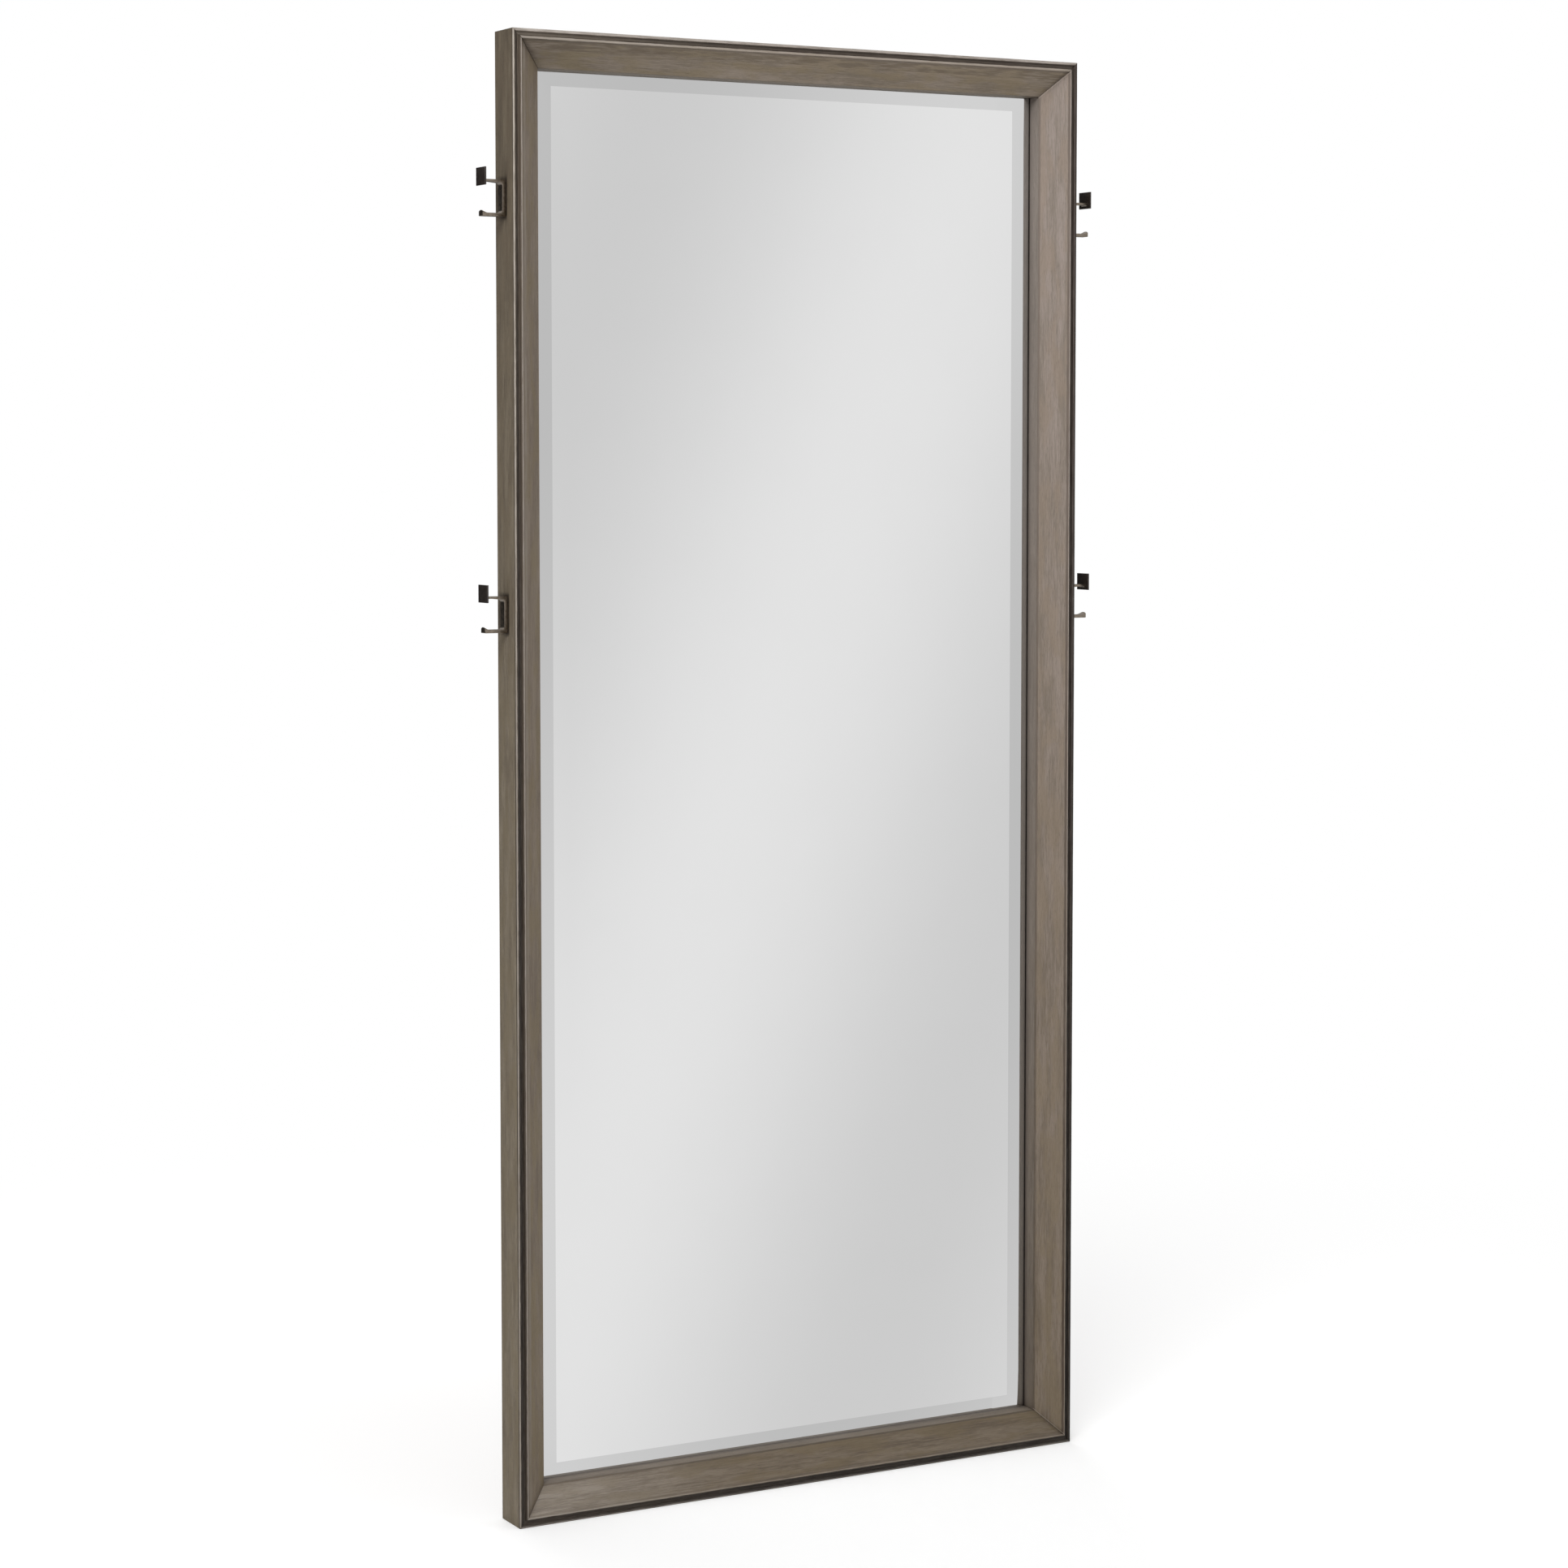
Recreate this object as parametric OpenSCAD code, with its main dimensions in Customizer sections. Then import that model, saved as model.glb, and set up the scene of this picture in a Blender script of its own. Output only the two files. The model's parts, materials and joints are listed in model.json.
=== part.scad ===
// Floor mirror: a mitred shadow-box frame round a bevelled glass, with two coat hooks on each side.
// The front faces -Y, +X is on the right of someone who looks into the glass, and the floor is z = 0.
// Frame members are drawn as a section: w is measured inwards from the frame's outer side,
// and d backwards from the front of the lip.

/* [Frame] */
// Width of the frame, without the hooks
frame_w = 876; // [700:1:1100]
// Height of the frame
frame_h = 1981; // [1700:1:2200]
// Depth of the frame, from the lip's front to the back
frame_d = 57; // [55:0.5:66]
// Thickness of the outer boards
casing_t = 18; // [17:0.5:22]

/* [Lip and groove] */
// Width of the lip round the front
lip_w = 4.4; // [3:0.1:6]
// Radius of the lip's outer edge
lip_outer_round = 1.6; // [0.5:0.1:2]
// Radius of the lip's inner edge
lip_inner_round = 1.1; // [0.3:0.1:1.4]
// Width of the groove inside the lip
groove_w = 5.2; // [3:0.1:7]
// Depth of the groove
groove_depth = 3; // [1.5:0.1:5]

/* [Sloped boards] */
// Width of the bead beside the groove
bead_w = 3.4; // [2.4:0.1:5]
// Radius of the bead's edges
bead_round = 0.8; // [0.3:0.1:1.1]
// Step down from the bead to the slope
bead_step = 0.9; // [0.4:0.1:2]
// Distance from the frame's side to the sight edge
sight_reach = 47.5; // [44:0.5:60]
// Depth of the sight edge behind the lip
sight_depth = 26.5; // [20:0.5:29]
// Thickness of the sloped boards and the liners
board_t = 12; // [11:0.5:13]

/* [Glass] */
// Thickness of the glass
glass_t = 4; // [3:0.5:6]
// Width of the bevel on the long edges
bevel_side = 38; // [20:0.5:45]
// Width of the bevel on the short edges
bevel_end = 28; // [20:0.5:45]
// Depth ground off at the edge of the bevel
bevel_drop = 1.6; // [0.8:0.1:2]
// Width of the rebate in the liners that holds the glass
rebate_w = 8.5; // [6:0.5:10]
// Clearance round the glass
glass_gap = 0.3; // [0.1:0.1:0.6]

/* [Back] */
// Thickness of the back panel
panel_t = 3; // [2:0.5:4]
// How far the back panel lies inside the frame's back
panel_inset = 0.2; // [0:0.1:0.5]
// Clearance round the back panel
panel_gap = 0.3; // [0.1:0.1:1]
// Depth of the rear battens
batten_d = 17; // [13:0.5:20]
// Width of the batten's rim outside the back panel
batten_rim = 4; // [2:0.5:6]
// Screws along each upright of the back panel
panel_screws_high = 6; // [3:1:9]
// Screws along each level edge of the back panel
panel_screws_wide = 3; // [1:1:5]
// Distance from the frame's corner to the first screw of an upright
panel_screw_start = 70; // [60:1:150]
// Length of the back panel's screws
panel_screw_l = 13; // [8:0.5:14]

/* [Mitre splines] */
// Width of the spline across the mitre
spline_w = 12; // [8:0.5:14]
// Thickness of the spline
spline_t = 4; // [2:0.5:5]
// Length of the spline, front to back
spline_l = 28; // [15:1:30]
// Distance from the spline to the frame's back
spline_back = 6; // [4:0.5:10]
// Clearance round a spline in its slot
spline_gap = 0.1; // [0.05:0.05:0.3]

/* [Coat hooks] */
// Distance from the frame's top to the middle of the upper hooks
hook_drop = 218.5; // [120:0.5:400]
// Distance from the upper hooks to the lower hooks
hook_spacing = 544; // [200:1:900]
// Height of the hook's bar
hook_h = 48; // [40:0.5:70]
// Width of the hook's bar and arms, front to back
hook_w = 12.6; // [11:0.1:18]
// Thickness of the bar, with its foot
bar_t = 6; // [4.5:0.1:8]
// Thickness of the foot on the bar's back
foot_t = 1.5; // [0.8:0.1:2]
// How far the foot lies inside the bar's outline
foot_inset = 1; // [0.5:0.1:2]
// Thickness of the arms
arm_t = 4.4; // [3:0.1:6]
// Radius of the inner corners
hook_fillet = 3; // [1:0.5:5]
// Reach of the upper arm from the frame to the cap
arm_reach = 32; // [25:0.5:50]
// Reach of the lower prong from the frame
prong_reach = 34; // [25:0.5:50]
// Length of the swollen tip
tip_l = 8; // [5:0.5:12]
// Height of the swollen tip
tip_h = 8.2; // [6.5:0.1:10]
// Height that the tip's domed top falls towards its sides
tip_dome = 2.4; // [0.5:0.1:3]
// Flare under the upper arm where it meets the cap
cap_flare = 1.8; // [0.5:0.1:3]

/* [Hook caps] */
// Width of the cap, front to back
cap_w = 28; // [16:0.1:40]
// Height of the cap
cap_h = 23.5; // [16:0.1:40]
// Thickness of the cap
cap_t = 2.4; // [2.2:0.1:6]
// Distance from the cap's lower edge to the upper arm's underside
cap_below_arm = 3.7; // [2:0.1:8]
// Bevel round the cap's edges
cap_edge = 0.5; // [0.2:0.1:1.2]
// Bevel of the cap's lower edge on the frame's side
cap_heel = 1.8; // [0.8:0.1:2.5]
// Width of the arm's tenon in the cap
tenon_w = 8; // [4:0.5:10]
// Thickness of the arm's tenon
tenon_t = 2.4; // [1.5:0.1:2.8]
// Length of the arm's tenon
tenon_l = 1.2; // [0.8:0.1:1.4]
// Clearance round the tenon
tenon_gap = 0.1; // [0.05:0.05:0.3]

/* [Screws] */
// Radius of a hook screw's shank
hook_screw_r = 1.9; // [1.5:0.1:2.2]
// Radius of a hook screw's head
hook_screw_head_r = 3.6; // [3:0.1:4]
// Length of the hook screws
hook_screw_l = 20; // [14:0.5:21]
// Distance between a hook's two screws
hook_screw_pitch = 20; // [16:0.5:24]
// Radius of a small screw's shank
small_screw_r = 1.5; // [1.2:0.1:1.8]
// Radius of a small screw's head
small_screw_head_r = 2.9; // [2.4:0.1:3.2]
// Radius of a screw's blunt point
screw_point_r = 0.2; // [0.1:0.05:0.5]
// Clearance round a screw in its hole
screw_gap = 0.1; // [0.05:0.05:0.2]

/* [Hanger plates] */
// Distance from the frame's top to the hanger plates
hanger_drop = 320; // [290:1:600]
// Width of a hanger plate
hanger_w = 14; // [12:0.5:15]
// Length of a hanger plate
hanger_l = 42; // [38:0.5:60]
// Thickness of a hanger plate
hanger_t = 1.5; // [1:0.1:2]
// Radius of the hanger plate's corners
hanger_round = 2; // [0.5:0.5:3]
// Radius of the keyhole's entry
keyhole_r = 4.5; // [4:0.1:5]
// Radius of the keyhole's slot
keyhole_slot_r = 2.2; // [1.8:0.1:2.6]
// Rise from the keyhole's entry to the end of its slot
keyhole_rise = 9; // [7:0.5:10]
// Depth of the pocket behind the keyhole
pocket_d = 8; // [5:0.5:10]
// Width of wall between the keyhole's entry and the pocket's side
pocket_margin = 1; // [0.5:0.1:1.2]
// Distance from the plate's end to its screw
hanger_screw_inset = 5; // [4.5:0.1:6]
// Length of the hanger plates' screws
hanger_screw_l = 14; // [8:0.5:18]
// Clearance round a hanger plate in its recess
hanger_gap = 0.1; // [0.05:0.05:0.3]

/* [Hidden] */
$fn = 48;

// Colours
wood_colour = [0.45, 0.41, 0.36];
liner_colour = [0.42, 0.39, 0.35];
batten_colour = [0.70, 0.60, 0.46];
panel_colour = [0.33, 0.26, 0.20];
glass_colour = [0.84, 0.85, 0.86];
bronze_colour = [0.18, 0.16, 0.14];
steel_colour = [0.62, 0.63, 0.64];

// Turns that carry a left-hand member to each side of the frame
LEFT = 0;
TOP = 90;
RIGHT = 180;
BOTTOM = 270;

// Places in the section
bead_x = lip_w + groove_w;
slope_x = bead_x + bead_w;
slope_rate = (sight_depth - bead_step) / (sight_reach - slope_x);
board_drop = board_t * sqrt(1 + slope_rate * slope_rate);
liner_x = sight_reach - board_t;
glass_x = sight_reach - rebate_w;
panel_x = casing_t + batten_rim;
panel_back = frame_d - panel_inset;
panel_front = panel_back - panel_t;
glass_front = panel_front - glass_t;
lap = rebate_w - glass_gap;
bevel_least = min(bevel_side, bevel_end);
ledge_depth = glass_front + bevel_drop * (1 - lap / bevel_least);
batten_front = frame_d - batten_d;
panel_screw_x = (panel_x + liner_x) / 2;

// Places of the hooks and hangers
upper_hook_z = frame_h - hook_drop;
lower_hook_z = upper_hook_z - hook_spacing;
arm_under = hook_h / 2 - arm_t;
cap_low = arm_under - cap_below_arm;
hanger_z = frame_h - hanger_drop;
hook_head_h = hook_screw_head_r - hook_screw_r;
small_head_h = small_screw_head_r - small_screw_r;
pocket_r = keyhole_r + pocket_margin;

// Depth of the sloped board's back at w
function board_back(w) = sight_depth - (sight_reach - w) * slope_rate + board_drop;

// Whether a turn names an upright
function is_stile(turn) = turn == LEFT || turn == RIGHT;

// Places of count things spread evenly from first to last, or midway when there is one
function spread(first, last, count) =
    count == 1 ? [(first + last) / 2] : [for (i = [0 : count - 1]) first + (last - first) * i / (count - 1)];

// The sliver between a square corner and a rounding of radius r
module corner_sliver(r) {
    difference() {
        square(r);
        translate([r, r]) circle(r);
    }
}

// Moves a left-hand member, drawn about its middle, to its side of the frame
module on_side(turn) {
    reach = is_stile(turn) ? frame_w / 2 : frame_h / 2;
    translate([0, 0, frame_h / 2])
        rotate([0, turn, 0])
            translate([-reach, -frame_d / 2, 0])
                children();
}

// One member: its section along the whole side, cut to a mitre at both ends
module member(turn) {
    length = is_stile(turn) ? frame_h : frame_w;
    on_side(turn)
        intersection() {
            linear_extrude(length, center = true) children();
            translate([0, frame_d + 1, 0])
                rotate([90, 0, 0])
                    linear_extrude(frame_d + 2)
                        polygon([
                            [0, -length / 2],
                            [sight_reach, sight_reach - length / 2],
                            [sight_reach, length / 2 - sight_reach],
                            [0, length / 2]
                        ]);
        }
}

// Outer board: rounded lip, groove floor and the seat of the sloped board
module casing_section() {
    difference() {
        polygon([
            [0, 0],
            [lip_w, 0],
            [lip_w, groove_depth],
            [bead_x, groove_depth],
            [bead_x, board_back(bead_x)],
            [casing_t, board_back(casing_t)],
            [casing_t, frame_d],
            [0, frame_d]
        ]);
        corner_sliver(lip_outer_round);
        translate([lip_w, 0]) mirror([1, 0]) corner_sliver(lip_inner_round);
    }
}

// Sloped board: bead, small step, and the slope down to the sight edge
module face_section() {
    difference() {
        polygon([
            [bead_x, 0],
            [slope_x, 0],
            [slope_x, bead_step],
            [sight_reach, sight_depth],
            [liner_x, board_back(liner_x)],
            [bead_x, board_back(bead_x)]
        ]);
        translate([bead_x, 0]) corner_sliver(bead_round);
        translate([slope_x, 0]) mirror([1, 0]) corner_sliver(min(bead_round, bead_step));
    }
}

// Liner: the wall from the sight edge to the glass, with the rebate behind it
module liner_section() {
    polygon([
        [sight_reach, sight_depth],
        [sight_reach, ledge_depth],
        [glass_x, ledge_depth],
        [glass_x, panel_front],
        [liner_x, panel_front],
        [liner_x, board_back(liner_x)]
    ]);
}

// Rear batten: fills the back between casing and liner, and frames the back panel
module batten_section() {
    polygon([
        [casing_t, batten_front],
        [liner_x, batten_front],
        [liner_x, panel_front],
        [panel_x, panel_front],
        [panel_x, frame_d],
        [casing_t, frame_d]
    ]);
}

// Splines, or with a clearance their slots, across the four mitres
module spline_shapes(gap) {
    for (side = [-1, 1], end = [0, 1])
        translate([
            side * (frame_w / 2 - casing_t / 2),
            frame_d / 2 - spline_back - spline_l / 2,
            end == 0 ? casing_t / 2 : frame_h - casing_t / 2
        ])
            rotate([0, (end == 0 ? 45 : -45) * side, 0])
                cube([spline_w + 2 * gap, spline_l + 2 * gap, spline_t + 2 * gap], center = true);
}

// Countersunk screw with its head's top at z = 0 and its point down
module screw(r, head_r, length) {
    head_h = head_r - r;
    difference() {
        union() {
            translate([0, 0, -head_h]) cylinder(h = head_h, r1 = r, r2 = head_r);
            translate([0, 0, 2 * r - length]) cylinder(h = length - 2 * r - head_h, r = r);
            translate([0, 0, -length]) cylinder(h = 2 * r, r1 = screw_point_r, r2 = r);
        }
        for (turn = [0, 90])
            rotate([0, 0, turn])
                cube([head_r, head_r / 5, head_h], center = true);
    }
}

// The hole that takes that screw
module screw_hole(r, head_r, length) {
    head_h = head_r - r;
    translate([0, 0, -length - screw_gap]) cylinder(h = length + screw_gap + 1, r = r + screw_gap);
    translate([0, 0, -head_h]) cylinder(h = head_h, r1 = r + screw_gap, r2 = head_r + screw_gap);
    cylinder(h = 1, r = head_r + screw_gap);
}

// Children at one hook, with +X out of the frame's side and z = 0 at the bar's middle
module at_hook(side, z) {
    translate([side * frame_w / 2, 0, z])
        rotate([0, 0, side < 0 ? 180 : 0])
            children();
}

// Children at the two screws of a hook, pointing into the frame
module at_hook_screws() {
    for (end = [-1, 1])
        translate([bar_t, 0, end * hook_screw_pitch / 2])
            rotate([0, 90, 0])
                children();
}

// Children at every screw of the back panel, pointing into the battens
module at_panel_screws() {
    high = spread(panel_screw_start, frame_h - panel_screw_start, panel_screws_high);
    wide_reach = frame_w / 2 - panel_screw_x;
    wide = spread(-wide_reach, wide_reach, panel_screws_wide + 2);
    for (side = [-1, 1], z = high)
        translate([side * (frame_w / 2 - panel_screw_x), panel_back - frame_d / 2, z])
            rotate([-90, 0, 0])
                children();
    for (z = [panel_screw_x, frame_h - panel_screw_x], i = [1 : panel_screws_wide])
        translate([wide[i], panel_back - frame_d / 2, z])
            rotate([-90, 0, 0])
                children();
}

// Children at a hanger plate, with +Z out of the back and +Y down
module at_hanger(side) {
    translate([side * (frame_w / 2 - casing_t / 2), frame_d / 2, hanger_z])
        rotate([-90, 0, 0])
            children();
}

// Children at a hanger plate's two screws
module at_hanger_screws() {
    for (end = [-1, 1])
        translate([0, end * (hanger_l / 2 - hanger_screw_inset), 0])
            children();
}

// Outline of a hanger plate, grown by a clearance
module hanger_outline(gap) {
    w = hanger_w + 2 * gap;
    l = hanger_l + 2 * gap;
    difference() {
        square([w, l], center = true);
        for (mx = [0, 1], my = [0, 1])
            mirror([mx, 0])
                mirror([0, my])
                    translate([-w / 2, -l / 2])
                        corner_sliver(hanger_round);
    }
}

// Keyhole: the entry below and the slot above it
module keyhole() {
    entry_y = keyhole_rise / 2;
    translate([0, entry_y]) circle(keyhole_r);
    translate([-keyhole_slot_r, -entry_y]) square([2 * keyhole_slot_r, keyhole_rise]);
    translate([0, -entry_y]) circle(keyhole_slot_r);
}

// Room for the wall screw's head behind the keyhole
module keyhole_pocket() {
    for (end = [-1, 1])
        translate([0, end * keyhole_rise / 2])
            circle(pocket_r);
    square([2 * pocket_r, keyhole_rise], center = true);
}

// Outer board of one side, with its slots, screw holes and hanger recess
module casing(turn) {
    color(wood_colour)
        difference() {
            member(turn) casing_section();
            spline_shapes(spline_gap);
            if (is_stile(turn)) {
                side = turn == LEFT ? -1 : 1;
                for (z = [upper_hook_z, lower_hook_z])
                    at_hook(side, z)
                        at_hook_screws()
                            screw_hole(hook_screw_r, hook_screw_head_r, hook_screw_l);
                at_hanger(side) {
                    translate([0, 0, -hanger_t]) linear_extrude(hanger_t + 1) hanger_outline(hanger_gap);
                    translate([0, 0, -hanger_t - pocket_d]) linear_extrude(pocket_d + 1) keyhole_pocket();
                    at_hanger_screws() screw_hole(small_screw_r, small_screw_head_r, hanger_screw_l);
                }
            }
        }
}

// Sloped board of one side
module face(turn) {
    color(wood_colour) member(turn) face_section();
}

// Liner of one side
module liner(turn) {
    color(liner_colour) member(turn) liner_section();
}

// Rear batten of one side, with the panel screws' holes
module batten(turn) {
    color(batten_colour)
        difference() {
            member(turn) batten_section();
            at_panel_screws() screw_hole(small_screw_r, small_screw_head_r, panel_screw_l);
        }
}

// Splines across the mitres of the outer boards
module mitre_splines() {
    color(batten_colour) spline_shapes(0);
}

// Section of the glass across one direction, with a bevel at both edges
module glass_section(half, bevel) {
    polygon([
        [-half, glass_front + bevel_drop],
        [bevel - half, glass_front],
        [half - bevel, glass_front],
        [half, glass_front + bevel_drop],
        [half, panel_front],
        [-half, panel_front]
    ]);
}

// Glass: the two bevelled sections crossed, so that the bevels meet in the corners
module mirror_glass() {
    half_w = frame_w / 2 - glass_x - glass_gap;
    half_h = frame_h / 2 - glass_x - glass_gap;
    color(glass_colour)
        translate([0, -frame_d / 2, frame_h / 2])
            intersection() {
                linear_extrude(2 * half_h, center = true) glass_section(half_w, bevel_side);
                rotate([0, 90, 0]) linear_extrude(2 * half_w, center = true) glass_section(half_h, bevel_end);
            }
}

// Back panel, countersunk for its screws
module back_panel() {
    reach = panel_x + panel_gap;
    color(panel_colour)
        difference() {
            translate([reach - frame_w / 2, panel_front - frame_d / 2, reach])
                cube([frame_w - 2 * reach, panel_t, frame_h - 2 * reach]);
            at_panel_screws() screw_hole(small_screw_r, small_screw_head_r, panel_screw_l);
        }
}

// Screws round the back panel
module panel_screws() {
    color(steel_colour) at_panel_screws() screw(small_screw_r, small_screw_head_r, panel_screw_l);
}

// Side view of the bar and the upper arm, with x out of the frame
module bar_and_arm_outline() {
    low = -hook_h / 2;
    translate([foot_t, low]) square([bar_t - foot_t, hook_h]);
    translate([foot_t, arm_under]) square([arm_reach - foot_t, arm_t]);
    translate([bar_t, arm_under]) mirror([0, 1]) corner_sliver(hook_fillet);
    translate([bar_t, low + arm_t]) corner_sliver(hook_fillet);
    translate([arm_reach, arm_under]) rotate(180) corner_sliver(cap_flare);
}

// Side view of the prong, which swells to its tip along an arc
module prong_outline() {
    low = -hook_h / 2;
    rise = tip_h - arm_t;
    swell_r = (tip_l * tip_l + rise * rise) / (2 * rise);
    translate([foot_t, low]) square([prong_reach - tip_l - foot_t, arm_t]);
    difference() {
        translate([prong_reach - tip_l, low]) square([tip_l, tip_h]);
        translate([prong_reach - tip_l, low + arm_t + swell_r]) circle(swell_r, $fn = 96);
        translate([prong_reach, low]) mirror([1, 0]) corner_sliver(1);
    }
}

// End view of the prong, flat below and domed above
module prong_end() {
    low = -hook_h / 2;
    dome_r = (hook_w * hook_w / 4 + tip_dome * tip_dome) / (2 * tip_dome);
    intersection() {
        translate([-hook_w / 2, low]) square([hook_w, tip_h]);
        translate([0, low + tip_h - dome_r]) circle(dome_r, $fn = 96);
    }
}

// Cast bracket of a hook: foot, bar, upper arm with its tenon, and lower prong
module hook_bracket(side, z) {
    color(bronze_colour)
        at_hook(side, z)
            difference() {
                union() {
                    rotate([90, 0, 0]) linear_extrude(hook_w, center = true) bar_and_arm_outline();
                    intersection() {
                        rotate([90, 0, 0]) linear_extrude(hook_w, center = true) prong_outline();
                        rotate([90, 0, 90]) linear_extrude(prong_reach + 1) prong_end();
                    }
                    translate([0, foot_inset - hook_w / 2, foot_inset - hook_h / 2])
                        cube([foot_t, hook_w - 2 * foot_inset, hook_h - 2 * foot_inset]);
                    translate([arm_reach, -tenon_w / 2, arm_under + arm_t / 2 - tenon_t / 2])
                        cube([tenon_l, tenon_w, tenon_t]);
                }
                at_hook_screws() screw_hole(hook_screw_r, hook_screw_head_r, hook_screw_l);
            }
}

// Side view of the cap: bevelled outer edges and a heel under the arm
module cap_outline() {
    polygon([
        [0, cap_heel],
        [cap_heel / 2, 0],
        [cap_t - cap_edge, 0],
        [cap_t, cap_edge],
        [cap_t, cap_h - cap_edge],
        [cap_t - cap_edge, cap_h],
        [0, cap_h]
    ]);
}

// Top view of the cap
module cap_plan() {
    polygon([
        [0, -cap_w / 2],
        [cap_t - cap_edge, -cap_w / 2],
        [cap_t, cap_edge - cap_w / 2],
        [cap_t, cap_w / 2 - cap_edge],
        [cap_t - cap_edge, cap_w / 2],
        [0, cap_w / 2]
    ]);
}

// Cap on the end of a hook's upper arm, with the socket for the tenon
module hook_cap(side, z) {
    color(bronze_colour)
        at_hook(side, z)
            translate([arm_reach, 0, cap_low])
                difference() {
                    intersection() {
                        rotate([90, 0, 0]) linear_extrude(cap_w, center = true) cap_outline();
                        linear_extrude(cap_h) cap_plan();
                    }
                    translate([
                        -1,
                        -tenon_w / 2 - tenon_gap,
                        cap_below_arm + arm_t / 2 - tenon_t / 2 - tenon_gap
                    ])
                        cube([tenon_l + tenon_gap + 1, tenon_w + 2 * tenon_gap, tenon_t + 2 * tenon_gap]);
                }
}

// Screws through the hooks' bars
module hook_screws() {
    color(bronze_colour)
        for (side = [-1, 1], z = [upper_hook_z, lower_hook_z])
            at_hook(side, z)
                at_hook_screws()
                    screw(hook_screw_r, hook_screw_head_r, hook_screw_l);
}

// Keyhole plate let into the back of an upright
module hanger_plate(side) {
    color(steel_colour)
        at_hanger(side)
            difference() {
                translate([0, 0, -hanger_t])
                    linear_extrude(hanger_t)
                        difference() {
                            hanger_outline(0);
                            keyhole();
                        }
                at_hanger_screws() screw_hole(small_screw_r, small_screw_head_r, hanger_screw_l);
            }
}

// Screws of both hanger plates
module hanger_screws() {
    color(steel_colour)
        for (side = [-1, 1])
            at_hanger(side)
                at_hanger_screws()
                    screw(small_screw_r, small_screw_head_r, hanger_screw_l);
}

casing(LEFT);  // casing_left
casing(RIGHT);  // casing_right
casing(TOP);  // casing_top
casing(BOTTOM);  // casing_bottom
face(LEFT);  // face_left
face(RIGHT);  // face_right
face(TOP);  // face_top
face(BOTTOM);  // face_bottom
liner(LEFT);  // liner_left
liner(RIGHT);  // liner_right
liner(TOP);  // liner_top
liner(BOTTOM);  // liner_bottom
batten(LEFT);  // batten_left
batten(RIGHT);  // batten_right
batten(TOP);  // batten_top
batten(BOTTOM);  // batten_bottom
mitre_splines();
mirror_glass();
back_panel();
panel_screws();
hook_bracket(-1, upper_hook_z);  // hook_bracket_left_upper
hook_bracket(-1, lower_hook_z);  // hook_bracket_left_lower
hook_bracket(1, upper_hook_z);  // hook_bracket_right_upper
hook_bracket(1, lower_hook_z);  // hook_bracket_right_lower
hook_cap(-1, upper_hook_z);  // hook_cap_left_upper
hook_cap(-1, lower_hook_z);  // hook_cap_left_lower
hook_cap(1, upper_hook_z);  // hook_cap_right_upper
hook_cap(1, lower_hook_z);  // hook_cap_right_lower
hook_screws();
hanger_plate(-1);  // hanger_plate_left
hanger_plate(1);  // hanger_plate_right
hanger_screws();
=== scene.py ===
# %% [markdown]
# # A floor mirror with coat hooks
# This lesson dresses a tall floor mirror. Its frame is built up like a shadow box: outer boards
# with a lip and a groove, sloped boards with a bead, and liners that reach back to a bevelled
# glass. Two cast coat hooks sit on each side, and a board closes the back. A CAD model of the same
# pieces comes first. Everything could be modelled again, but the CAD sizes are right and the back
# is rarely seen. So the boards, the glass and the hooks are remade here with rounded edges,
# because soft edges catch the light, and the pieces of the back keep their shapes and only get
# their finishes.

# %% Start from the packed model
import json
import math

import bmesh
import bpy
from mathutils import Matrix, Vector, noise

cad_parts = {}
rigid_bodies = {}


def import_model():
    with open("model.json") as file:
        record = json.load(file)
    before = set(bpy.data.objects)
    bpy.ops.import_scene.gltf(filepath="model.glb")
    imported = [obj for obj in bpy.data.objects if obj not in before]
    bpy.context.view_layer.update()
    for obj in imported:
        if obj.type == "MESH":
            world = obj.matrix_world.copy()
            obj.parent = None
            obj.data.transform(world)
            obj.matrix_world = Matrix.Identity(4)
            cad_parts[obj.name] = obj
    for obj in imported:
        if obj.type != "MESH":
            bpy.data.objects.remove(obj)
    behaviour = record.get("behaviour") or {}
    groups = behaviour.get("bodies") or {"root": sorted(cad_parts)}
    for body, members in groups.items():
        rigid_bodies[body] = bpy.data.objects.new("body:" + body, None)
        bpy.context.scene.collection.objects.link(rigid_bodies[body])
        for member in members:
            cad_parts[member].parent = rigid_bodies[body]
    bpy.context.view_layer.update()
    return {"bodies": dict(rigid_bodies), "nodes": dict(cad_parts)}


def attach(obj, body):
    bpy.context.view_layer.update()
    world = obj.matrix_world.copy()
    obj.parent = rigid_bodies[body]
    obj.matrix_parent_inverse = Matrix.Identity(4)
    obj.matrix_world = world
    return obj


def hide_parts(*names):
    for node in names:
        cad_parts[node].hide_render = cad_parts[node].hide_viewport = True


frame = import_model()
BODY = next(iter(frame["bodies"]))

# %% [markdown]
# ## Sizes
# A joiner draws one section of the frame and cuts every board from it. The boards could also be
# sized one by one in the viewport, but then a change in one would leave gaps at the others. So the
# section's numbers stand here once, in millimetres: w is measured inwards from the frame's outer
# side, and d backwards from the lip's front.

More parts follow.
